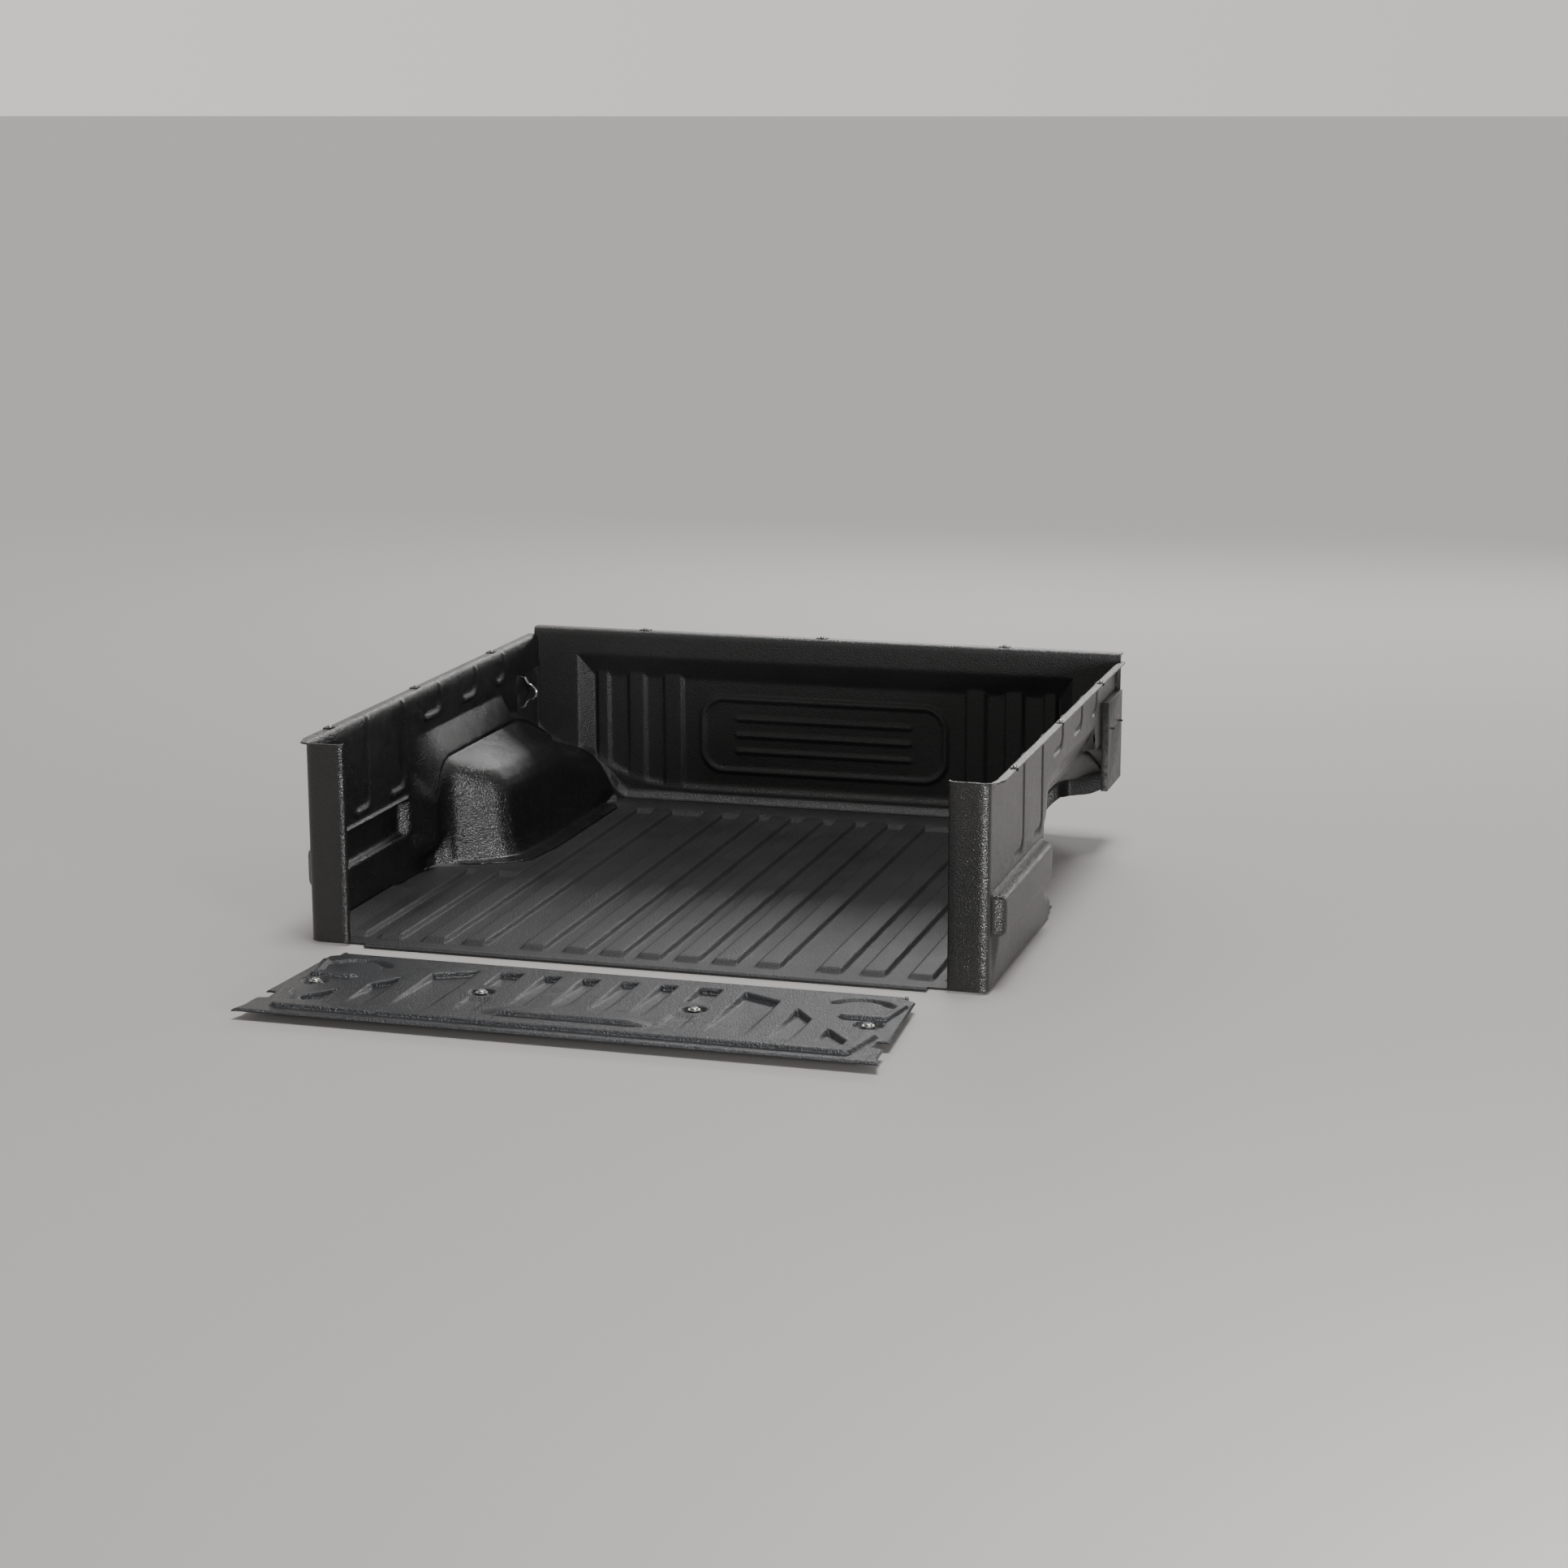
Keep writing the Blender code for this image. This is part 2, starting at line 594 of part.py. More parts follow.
def gate_line(x):
    """All points (y, height) of one line of the tailgate liner, from the hinge edge to the outer edge."""
    side = abs(x)
    lift = GATE_BEAD_RISE if side < 0.637 else 0.0
    if side > 0.69:
        field = [(y, 0.0) for y in (-0.300, -0.400, -0.498, -0.504, -0.515, -0.525, -0.535, -0.545, -0.551,
                                    -0.556,
                                    -0.560)]
    else:
        field = gate_field(x)
    bead = list(zip(GATE_BEAD_LINES, (0.0, lift, lift, 0.0)))
    return ([(GATE_HINGE_EDGE, -0.004), (GATE_HINGE_EDGE - 0.008, 0.0), (-0.190, 0.0), (-0.206, 0.0)] + field
            + bead
            + [(GATE_OUTER_EDGE + 0.006, 0.0), (GATE_OUTER_EDGE, -0.004)])


def build_tailgate(parent):
    outer = (0.632, 0.642, 0.700)
    across = sorted(corrugation_lines(0.62) + [s * x for x in outer for s in (-1, 1)])
    rows = []
    for x in across:
        rows.append([Vector((math.copysign(gate_half(y), x) if abs(x) > 0.69 else x, y, GATE_LEVEL + z))
                     for y, z in gate_line(x)])
    gate = add_object("tailgate_liner", panel_mesh("tailgate_liner", rows), "gate_plastic", GATE_PLASTIC,
                      parent)
    thicken(gate)
    places = [Vector((sign * x, y, GATE_LEVEL)) for x, y in GATE_BOLTS for sign in (-1, 1)]
    dish = ((0.0, -GATE_DISH), (0.019, -GATE_DISH), (0.021, 0.006), (0.0, 0.006))
    cut(gate, "bolt_dishes", [lathe_mesh("dish", dish, place, (0, 0, 1), 16) for place in places])

    def on_gate(a, b, height):
        return Vector((a, b, GATE_LEVEL + height))

    bars = [bead_mesh("corner_bar", [(sign * 0.563, -0.3525), (sign * 0.652, -0.3525), (sign * 0.668, -0.2550)],
                      0.010, 0.006, on_gate) for sign in (-1, 1)]
    cut(gate, "raised_bars", bars, "UNION")
    cut(gate, "bolt_holes", [peg_mesh("hole", place, (0, 0, 1), 0.0040, 0.015) for place in places])
    return gate


# ---------------------------------------------------------------- fasteners
def place_bolt(name, origin, axis, head, shank, length, parent=None, look=("zinc", ZINC)):
    """A dome-head bolt whose head stands on origin and whose shank runs back along the axis."""
    profile = ((0.0, -length), (shank, -length), (shank, 0.0), (head, 0.0), (head, 0.0018),
               (0.75 * head, 0.0042),
               (0.0, 0.0052))
    mesh = lathe_mesh(name, profile, origin, axis, 10)
    return add_object(name, mesh, look[0], look[1], parent)


def build_gate_fasteners(parent):
    for place, (x, y) in zip(("inner", "outer"), GATE_BOLTS):
        for side, sign in (("left", -1), ("right", 1)):
            seat = GATE_LEVEL - GATE_DISH
            at = (sign * x, y, seat)
            washer = ring_mesh("washer", 0.0038, 0.0135, GAP, GAP + 0.0012, at, (0, 0, 1), 14)
            add_object(f"gate_washer_{place}_{side}", washer, "zinc", ZINC, parent)
            place_bolt(f"gate_bolt_{place}_{side}", (sign * x, y, seat + 2 * GAP + 0.0012), (0, 0, 1), 0.0090,
                       0.0030,
                       0.0125, parent)
            under = ring_mesh("nut", 0.0037, 0.0080, -SHEET - 0.0045 - GAP, -SHEET - GAP - 0.0005, at,
                              (0, 0, 1), 6)
            add_object(f"gate_nut_{place}_{side}", under, "zinc", ZINC, parent)


def clip_outline(edge_sign):
    """C-shaped section of a rail clip round the liner's lip; edge_sign points out of the bed."""
    top, low = GAP + 0.0016, -SHEET - GAP - 0.0016
    reach, lip = -0.017, 0.0025
    steel = 0.0016
    return [(edge_sign * a, b) for a, b in (
        (reach, GAP), (reach, top), (lip, top), (lip, low), (reach, low), (reach, low + steel),
        (lip - steel, low + steel), (lip - steel, GAP))]


def build_rail_clips():
    half = 0.015
    for side, sign in (("left", -1), ("right", 1)):
        edge = sign * (WALL_X + 0.028)
        for number, y in enumerate(CLIP_Y):
            outline = [(edge + a, SIDE_TOP + b) for a, b in clip_outline(sign)]
            place_clip(f"rail_clip_{side}_{number + 1}", outline, y, half, "XZ",
                       (sign * (WALL_X + 0.019), y, SIDE_TOP + 2 * GAP + 0.0016))
    edge = FRAME_Y + 0.034
    for number, x in enumerate(CLIP_X):
        outline = [(edge + a, FRONT_TOP + b) for a, b in clip_outline(1)]
        place_clip(f"rail_clip_front_{number + 1}", outline, x, half, "YZ",
                   (x, FRAME_Y + 0.024, FRONT_TOP + 2 * GAP + 0.0016))


def place_clip(name, outline, middle, half, plane, screw_at):
    clip = add_object(name, prism_mesh(name, outline, middle - half, middle + half, plane), "black_steel",
                      BLACK_STEEL)
    cut(clip, "screw_hole", [peg_mesh("hole", screw_at, (0, 0, 1), 0.0027, 0.015, 10)])
    place_bolt(name.replace("clip", "screw"), screw_at, (0, 0, 1), 0.0048, 0.0022, 0.0105)


# ---------------------------------------------------------------- tie-down hooks
def hook_path(sign):
    """Centre line of the bent hook rod, from its upper foot to its lower foot."""
    root = POCKET_FLOOR_X - GAP
    points = ((0.0, 0.045), (0.008, 0.045), (0.0125, 0.034), (0.020, 0.024), (0.031, 0.019), (0.040, 0.011),
              (0.0425, 0.0), (0.040, -0.010), (0.031, -0.016), (0.020, -0.019), (0.0125, -0.029),
              (0.008, -0.041),
              (0.0, -0.041))
    return [Vector((sign * (root - out), HOOK_Y, HOOK_Z + up)) for out, up in points]


def pocket_screws(sign):
    """Where the two screws stand that hold the pocket to the truck's body."""
    return [Vector((sign * POCKET_FLOOR_X, HOOK_Y + shift, HOOK_Z)) for shift in (-0.055, 0.055)]


def box_outline(low, high):
    return [(low[0], low[1]), (high[0], low[1]), (high[0], high[1]), (low[0], high[1])]


def build_hook(side, sign):
    face = sign * (WALL_X + SHEET + GAP)
    back = sign * (POCKET_FLOOR_X + POCKET_SHELL)
    low, high = (HOOK_OPENING_Y - 0.020, 0.170), (SIDE_FRONT + 0.0008, 0.402)
    shell = POCKET_SHELL
    outer = prism_mesh("hook_pocket", box_outline(low, high), face, back, plane="YZ")
    pocket = add_object(f"hook_pocket_{side}", outer, "black_steel", BLACK_STEEL)
    hollow = box_outline((low[0] + shell, low[1] + shell), (high[0] - shell, high[1] - shell))
    inside = prism_mesh("hollow", hollow, sign * (WALL_X - 0.010), sign * POCKET_FLOOR_X, plane="YZ")
    cut(pocket, "hollow", [inside])
    cut(pocket, "screw_holes", [peg_mesh("hole", place, (1, 0, 0), 0.0033, 0.008, 10)
                                for place in pocket_screws(sign)])
    rod = bpy.data.curves.new(f"hook_{side}", "CURVE")
    rod.dimensions = "3D"
    rod.bevel_depth = 0.0044
    rod.bevel_resolution = 1
    rod.use_fill_caps = True
    line = rod.splines.new("POLY")
    path = hook_path(sign)
    line.points.add(len(path) - 1)
    for point, place in zip(line.points, path):
        point.co = (*place, 1.0)
    rod.materials.append(material("chrome", CHROME))
    hook = bpy.data.objects.new(f"tie_down_hook_{side}", rod)
    bpy.context.scene.collection.objects.link(hook)
    for number, place in enumerate(pocket_screws(sign)):
        place_bolt(f"hook_screw_{side}_{number + 1}", place - Vector((sign * GAP, 0, 0)), (-sign, 0, 0), 0.0065,
                   0.0028, 0.0120, look=("black_steel", BLACK_STEEL))


# ---------------------------------------------------------------- assembly
def main():
    clear_scene()
    hinge = bpy.data.objects.new("tailgate_hinge_axis", None)
    bpy.context.scene.collection.objects.link(hinge)
    hinge.location = TAILGATE_AXIS
    bpy.context.view_layer.update()
    build_floor()
    build_front_wall()
    for side, sign in (("left", -1), ("right", 1)):
        build_side(f"side_liner_{side}", sign)
        build_hook(side, sign)
    build_tailgate(hinge)
    build_gate_fasteners(hinge)
    build_rail_clips()


main()
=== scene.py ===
"""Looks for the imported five-piece bed liner: moulded panels, fasteners, hooks, materials, light and camera.

Frame: +X is the truck's right, +Y points forward to the cab and +Z is up, in metres, as in the CAD.
Each panel is one dense sheet over the same driving dimensions as its CAD node, with the rounded
corners, beads and recesses that a vacuum-formed moulding has.
"""
import math

import bmesh
import bpy
import numpy as np
from mathutils import Matrix, Vector


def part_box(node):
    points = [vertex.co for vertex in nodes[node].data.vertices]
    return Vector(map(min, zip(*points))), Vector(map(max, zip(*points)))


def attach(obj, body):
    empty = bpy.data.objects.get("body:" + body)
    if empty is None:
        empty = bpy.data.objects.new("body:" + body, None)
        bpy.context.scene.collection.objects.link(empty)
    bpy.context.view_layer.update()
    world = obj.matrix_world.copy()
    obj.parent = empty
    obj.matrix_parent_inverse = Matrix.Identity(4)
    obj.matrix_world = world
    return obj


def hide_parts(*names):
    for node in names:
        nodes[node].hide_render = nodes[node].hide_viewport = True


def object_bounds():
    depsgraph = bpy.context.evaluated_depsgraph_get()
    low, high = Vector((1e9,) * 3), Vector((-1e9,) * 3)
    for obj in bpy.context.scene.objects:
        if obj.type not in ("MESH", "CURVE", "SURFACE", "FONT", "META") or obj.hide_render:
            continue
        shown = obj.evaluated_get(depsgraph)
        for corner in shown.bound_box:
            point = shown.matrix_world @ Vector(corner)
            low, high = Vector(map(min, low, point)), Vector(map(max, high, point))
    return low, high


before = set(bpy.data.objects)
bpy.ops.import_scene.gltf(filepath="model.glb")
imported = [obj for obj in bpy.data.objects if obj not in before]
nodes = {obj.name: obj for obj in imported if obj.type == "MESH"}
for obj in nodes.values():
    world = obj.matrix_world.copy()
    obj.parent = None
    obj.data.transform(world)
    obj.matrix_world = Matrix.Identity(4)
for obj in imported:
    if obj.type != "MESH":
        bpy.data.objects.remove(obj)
cad_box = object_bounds()

# ---------------------------------------------------------------- dimensions, from the frame if it has them
FLOOR_LOW, FLOOR_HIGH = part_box("floor_liner")
SIDE_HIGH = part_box("side_liner_right")[1]
WALL_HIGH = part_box("front_wall_liner")[1]
GATE_LOW, GATE_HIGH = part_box("tailgate_liner")
SHEET = 0.004                     # wall thickness of every moulded panel
RIM_BEVEL = 0.0009                # rounding of the trimmed edges

RIB_CENTRES = (0.0, 0.090, 0.179, 0.282, 0.4255, 0.526, 0.636)
RIB_HALF_TOP = 0.024
RIB_FLANK = 0.008
GROOVE_LEVEL = SHEET
RIB_LEVEL = 0.014
FLOOR_REAR = FLOOR_LOW.y
FLOOR_FRONT = FLOOR_HIGH.y
FLOOR_WIDE_HALF = FLOOR_HIGH.x
FLOOR_REAR_HALF = 0.668
FLOOR_NARROW_HALF = 0.585
FLOOR_STEP_X = 0.735              # the outer strip starts here and ends at the step line
FLOOR_STEP_Y = 0.705
FLOOR_LIP_Y = -0.021              # the rolled rear edge starts here
NARROW_FROM_Y = 0.785
RAMP_TOP_LEVEL = FLOOR_HIGH.z

WALL_X = 0.800
SIDE_TOP = SIDE_HIGH.z
SIDE_FRONT = SIDE_HIGH.y
RAIL_LIP = 0.028
POCKET_DEPTH = SIDE_HIGH.x - SHEET - WALL_X
REAR_OPENING_HALF = 0.713
ARCH_REAR = 0.660
ARCH_TOP = 0.286
ARCH_CORNER = 0.085
ARCH_FOOT_X = 0.765               # the arch box leaves the wall here
ARCH_BOX_X = 0.600                # and stands this far from the centre line where it is widest
HOOKED_RIBS = ((0.317, 0.247, 0.080), (0.530, 0.247, 0.080), (0.770, 0.394, 0.095), (1.015, 0.394, 0.085),
               (1.215, 0.394, 0.045))
HOOK_OPENING_Y = 1.310
HOOK_OPENING_HIGH = 0.386
HOOK_HEIGHT = 0.326
HOOK_RADIUS = 0.0044

FRAME_Y = 1.490
FIELD_Y = 1.522
FRONT_TOP = WALL_HIGH.z
FRONT_HALF = WALL_HIGH.x
FRONT_RIBS = ((0.400, 0.447), (0.507, 0.549), (0.612, 0.640))
FRONT_RIB_RISE = 0.007
FRONT_RIB_FLANK = 0.0068
PANEL_MIDDLE = 0.214              # height of the middle of the framed panel

GATE_LEVEL = 0.0245
GATE_GROOVE = 0.012
GATE_BEAD_RISE = 0.008
GATE_DISH = 0.0015
GATE_BEAD = (-0.588, 0.023, 0.009)    # middle line, half width and flank of the long bead
GATE_HINGE_EDGE = GATE_HIGH.y
GATE_OUTER_EDGE = GATE_LOW.y
GATE_BOLTS = ((0.242, -0.386), (0.628, -0.399))
GATE_CUPS = ((0.0285, 0.0285, 0.0080), (0.0340, 0.0310, 0.0065))    # half width, half length and depth
GATE_WIDEST = 0.713
GATE_STRAIGHT = 0.660             # up to here the grid's columns run straight, then they follow the edge

# ---------------------------------------------------------------- camera, light, stage
CAMERA_PLACE = (2.203, -6.471, 1.940)
CAMERA_YAW = math.radians(16.14)
CAMERA_PITCH = math.radians(12.57)
CAMERA_ROLL = math.radians(0.14)
CAMERA_LENS = 71.8                # millimetres, on a sensor 36 mm wide
STAGE_HALF = 200.0                # half width of the studio floor
STAGE_GAP = 0.0006                # the floor lies this far below the object


def add_camera():
    """Behind the bed, to its right and above it, as the object is usually shown with the tailgate open."""
    camera = bpy.data.objects.new("camera", bpy.data.cameras.new("camera"))
    bpy.context.scene.collection.objects.link(camera)
    camera.data.sensor_width = 36.0
    camera.data.lens = CAMERA_LENS
    camera.matrix_world = (Matrix.Translation(CAMERA_PLACE) @ Matrix.Rotation(CAMERA_YAW, 4, "Z")
                           @ Matrix.Rotation(math.pi / 2 - CAMERA_PITCH, 4, "X")
                           @ Matrix.Rotation(-CAMERA_ROLL, 4, "Z"))
    bpy.context.scene.camera = camera


def add_area_light(name, place, target, size, watts):
    """A rectangular softbox at a place, turned towards a target and hidden from the camera."""
    lamp = bpy.data.lights.new(name, "AREA")
    lamp.shape = "RECTANGLE"
    lamp.size, lamp.size_y = size
    lamp.energy = watts
    light = bpy.data.objects.new(name, lamp)
    bpy.context.scene.collection.objects.link(light)
    aim = (Vector(target) - Vector(place)).to_track_quat("-Z", "Y")
    light.matrix_world = Matrix.Translation(place) @ aim.to_matrix().to_4x4()
    light.visible_camera = False


def add_sun(name, source, watts, spread):
    """A broad soft light from one direction; source points from the object towards it."""
    lamp = bpy.data.lights.new(name, "SUN")
    lamp.energy = watts
    lamp.angle = math.radians(spread)
    light = bpy.data.objects.new(name, lamp)
    bpy.context.scene.collection.objects.link(light)
    light.matrix_world = Vector(source).to_track_quat("Z", "Y").to_matrix().to_4x4()


def add_world():
    """Pale studio walls: bright low down ahead of the bed, dimmer overhead and behind."""
    world = bpy.data.worlds.new("studio")
    bpy.context.scene.world = world
    world.use_nodes = True
    tree = world.node_tree
    place = tree.nodes.new("ShaderNodeTexCoord")
    split = tree.nodes.new("ShaderNodeSeparateXYZ")
    link(tree, place.outputs["Generated"], split.inputs["Vector"])
    ahead = remap(tree, split.outputs["Y"], -0.20, 0.80, 0.42, 1.0)
    left = remap(tree, split.outputs["X"], -0.60, 0.60, 1.0, 0.60)
    low = remap(tree, split.outputs["Z"], 0.35, 0.80, 1.0, 0.25)
    level = combine(tree, "MULTIPLY", combine(tree, "MULTIPLY", ahead, left), low)
    background = tree.nodes["Background"]
    background.inputs["Color"].default_value = (0.92, 0.885, 0.85, 1.0)
    link(tree, remap(tree, level, 0.0, 1.0, 0.05, 1.05), background.inputs["Strength"])


def add_studio():
    """One broad light overhead, three softboxes for the glints on the arches and ribs, and a pale floor."""
    add_world()
    add_sun("overhead", (0.08, 0.0, 1.0), 2.9, 22.0)
    add_area_light("right_rear", (3.9, -3.5, 0.80), (-0.65, 0.70, 0.15), (1.5, 1.1), 200.0)
    add_area_light("ahead", (-0.4, 6.0, 2.6), (-0.5, 0.9, 0.28), (3.0, 0.9), 72.0)
    add_area_light("ahead_right", (2.6, 6.6, 2.0), (0.1, -0.4, 0.0), (1.4, 0.8), 36.0)

    plane = bpy.data.meshes.new("studio_floor")
    half = STAGE_HALF
    ground = cad_box[0][2] - STAGE_GAP
    corners = [(-half, -half, ground), (half, -half, ground), (half, half, ground), (-half, half, ground)]
    plane.from_pydata(corners, [], [(0, 1, 2, 3)])
    floor = bpy.data.objects.new("studio_floor", plane)
    bpy.context.scene.collection.objects.link(floor)
    paint = bpy.data.materials.new("studio_floor")
    paint.use_nodes = True
    shader = paint.node_tree.nodes["Principled BSDF"]
    shader.inputs["Base Color"].default_value = (0.40, 0.385, 0.37, 1.0)
    shader.inputs["Roughness"].default_value = 0.75
    plane.materials.append(paint)


# ---------------------------------------------------------------- materials
def new_material(name):
    """A fresh material with its node tree and its main shader."""
    made = bpy.data.materials.new(name)
    made.use_nodes = True
    tree = made.node_tree
    return made, tree, tree.nodes["Principled BSDF"]


def link(tree, source, target):
    tree.links.new(source, target)


def texture(tree, kind, scale, **settings):
    """A noise or Voronoi texture in object coordinates, so that its scale is per metre."""
    node = tree.nodes.new(kind)
    node.inputs["Scale"].default_value = scale
    for key, value in settings.items():
        node.inputs[key].default_value = value
    place = tree.nodes.get("Place") or tree.nodes.new("ShaderNodeTexCoord")
    place.name = "Place"
    link(tree, place.outputs["Object"], node.inputs["Vector"])
    return node


def remap(tree, value, low, high, new_low, new_high):
    """The value moved from one range to another, held at both ends."""
    node = tree.nodes.new("ShaderNodeMapRange")
    for key, number in zip(("From Min", "From Max", "To Min", "To Max"), (low, high, new_low, new_high)):
        node.inputs[key].default_value = number
    link(tree, value, node.inputs["Value"])
    return node.outputs["Result"]


def mix_colour(tree, share, first, second):
    """A blend of two colours, each either a tuple or a socket; share 0 gives the first."""
    node = tree.nodes.new("ShaderNodeMix")
    node.data_type = "RGBA"
    first_input, second_input = node.inputs[6], node.inputs[7]     # the pair that is meant for colours
    for socket, value in ((first_input, first), (second_input, second)):
        if isinstance(value, tuple):
            socket.default_value = (*value, 1.0)
        else:
            link(tree, value, socket)
    link(tree, share, node.inputs[0])
    return node.outputs[2]


def combine(tree, operation, first, second):
    """Two values put together by a Math node; either may be a plain number."""
    node = tree.nodes.new("ShaderNodeMath")
    node.operation = operation
    for socket, value in zip(node.inputs, (first, second)):
        if isinstance(value, float):
            socket.default_value = value
        else:
            link(tree, value, socket)
    return node.outputs["Value"]


def add_bump(tree, shader, layers):
    """Stack bump layers, each (height, strength, distance), the coarsest first."""
    normal = None
    for height, strength, distance in layers:
        bump = tree.nodes.new("ShaderNodeBump")
        bump.inputs["Strength"].default_value = strength
        bump.inputs["Distance"].default_value = distance
        link(tree, height, bump.inputs["Height"])
        if normal:
            link(tree, normal, bump.inputs["Normal"])
        normal = bump.outputs["Normal"]
    link(tree, normal, shader.inputs["Normal"])


def edge_share(tree, start, end):
    """0 on flat and hollow ground, 1 on the most exposed edges."""
    geometry = tree.nodes.new("ShaderNodeNewGeometry")
    return remap(tree, geometry.outputs["Pointiness"], start, end, 0.0, 1.0)


def pebbled_plastic(name, colour, wear_and_highlight, roughness, pebble, relief, shine):
    """Vacuum-formed polyethylene: a cast pebble grain with painted shade in its pits, faint mottling and
    rubbed edges that also carry a painted highlight.

    The pebble is the size of one grain in metres, relief is how strongly it stands out and shine is the
    specular level; the other textures keep their size in proportion to the grain.
    """
    made, tree, shader = new_material(name)
    warp = texture(tree, "ShaderNodeTexNoise", 1.3 / pebble, Detail=1.0)
    place = tree.nodes["Place"]
    shift = tree.nodes.new("ShaderNodeVectorMath")
    shift.operation = "MULTIPLY_ADD"
    link(tree, warp.outputs["Color"], shift.inputs[0])
    shift.inputs[1].default_value = (0.9 * pebble,) * 3
    link(tree, place.outputs["Object"], shift.inputs[2])
    cells = texture(tree, "ShaderNodeTexVoronoi", 1.0 / pebble, Randomness=1.0)
    cells.feature = "SMOOTH_F1"
    cells.inputs["Smoothness"].default_value = 0.35
    link(tree, shift.outputs["Vector"], cells.inputs["Vector"])
    pebbles = remap(tree, cells.outputs["Distance"], 0.10, 0.85, 1.0, 0.0)
    fine = texture(tree, "ShaderNodeTexNoise", 3.2 / pebble, Detail=3.0, Roughness=0.6)
    waves = texture(tree, "ShaderNodeTexNoise", 9.0, Detail=2.0)
    clumps = texture(tree, "ShaderNodeTexNoise", 0.55 / pebble, Detail=1.0)
    add_bump(tree, shader, ((waves.outputs["Fac"], 0.16, 0.004),
                            (clumps.outputs["Fac"], relief, 0.22 * pebble),
                            (pebbles, relief, 0.42 * pebble),
                            (fine.outputs["Fac"], 0.5 * relief, 0.12 * pebble)))
    mottle = texture(tree, "ShaderNodeTexNoise", 3.5, Detail=4.0, Roughness=0.6)
    patches = remap(tree, mottle.outputs["Fac"], 0.35, 0.68, 0.0, 1.0)
    base = mix_colour(tree, patches, colour, tuple(1.28 * part for part in colour))
    # Partly real wear and partly painted highlight: the most exposed edges, found by pointiness, are
    # lightened towards the rubbed colour, which also stands for the light line along rib edges.
    rub_and_edge_highlight = combine(tree, "MULTIPLY", edge_share(tree, 0.515, 0.60),
                  remap(tree, fine.outputs["Fac"], 0.35, 0.65, 0.2, 1.0))
    base = mix_colour(tree, rub_and_edge_highlight, base, wear_and_highlight)
    # Painted shade: the colour darkens towards 0.45 of the base in the pits between the pebbles, where the
    # bump is lowest.
    hollow = remap(tree, cells.outputs["Distance"], 0.45, 0.95, 0.0, 0.45)
    base = mix_colour(tree, hollow, base, tuple(0.45 * part for part in colour))
    link(tree, base, shader.inputs["Base Color"])
    broad_gloss = remap(tree, mottle.outputs["Fac"], 0.3, 0.7, roughness - 0.06, roughness + 0.06)
    fine_gloss = remap(tree, fine.outputs["Fac"], 0.3, 0.7, -0.05, 0.05)
    link(tree, combine(tree, "ADD", broad_gloss, fine_gloss), shader.inputs["Roughness"])
    shader.inputs["Specular IOR Level"].default_value = shine
    return made


def plated_metal(name, bright, dull, roughness, stain_scale):
    """Zinc or chrome plate: a tone that wanders, smudges in the gloss and a fine brushed tooth."""
    made, tree, shader = new_material(name)
    stain = texture(tree, "ShaderNodeTexNoise", stain_scale, Detail=4.0, Roughness=0.65)
    share = remap(tree, stain.outputs["Fac"], 0.38, 0.66, 0.0, 1.0)
    link(tree, mix_colour(tree, share, bright, dull), shader.inputs["Base Color"])
    link(tree, remap(tree, stain.outputs["Fac"], 0.3, 0.7, roughness * 0.7, roughness * 1.5),
         shader.inputs["Roughness"])
    shader.inputs["Metallic"].default_value = 1.0
    tooth = texture(tree, "ShaderNodeTexNoise", 2600.0, Detail=2.0)
    add_bump(tree, shader, ((tooth.outputs["Fac"], 0.12, 0.0002),))
    return made


def coated_steel(name, colour, bare):
    """Black powder coat: a slight orange peel, rubbed through to steel on the sharpest edges."""
    made, tree, shader = new_material(name)
    peel = texture(tree, "ShaderNodeTexNoise", 700.0, Detail=2.0)
    dirt = texture(tree, "ShaderNodeTexNoise", 45.0, Detail=5.0, Roughness=0.7)
    share = remap(tree, dirt.outputs["Fac"], 0.4, 0.7, 0.0, 1.0)
    base = mix_colour(tree, share, colour, tuple(1.7 * part for part in colour))
    wear = combine(tree, "MULTIPLY", edge_share(tree, 0.56, 0.68), share)
    link(tree, mix_colour(tree, wear, base, bare), shader.inputs["Base Color"])
    link(tree, combine(tree, "MULTIPLY", wear, 0.8), shader.inputs["Metallic"])
    link(tree, remap(tree, dirt.outputs["Fac"], 0.3, 0.7, 0.34, 0.52), shader.inputs["Roughness"])
    add_bump(tree, shader, ((peel.outputs["Fac"], 0.25, 0.0006),))
    return made


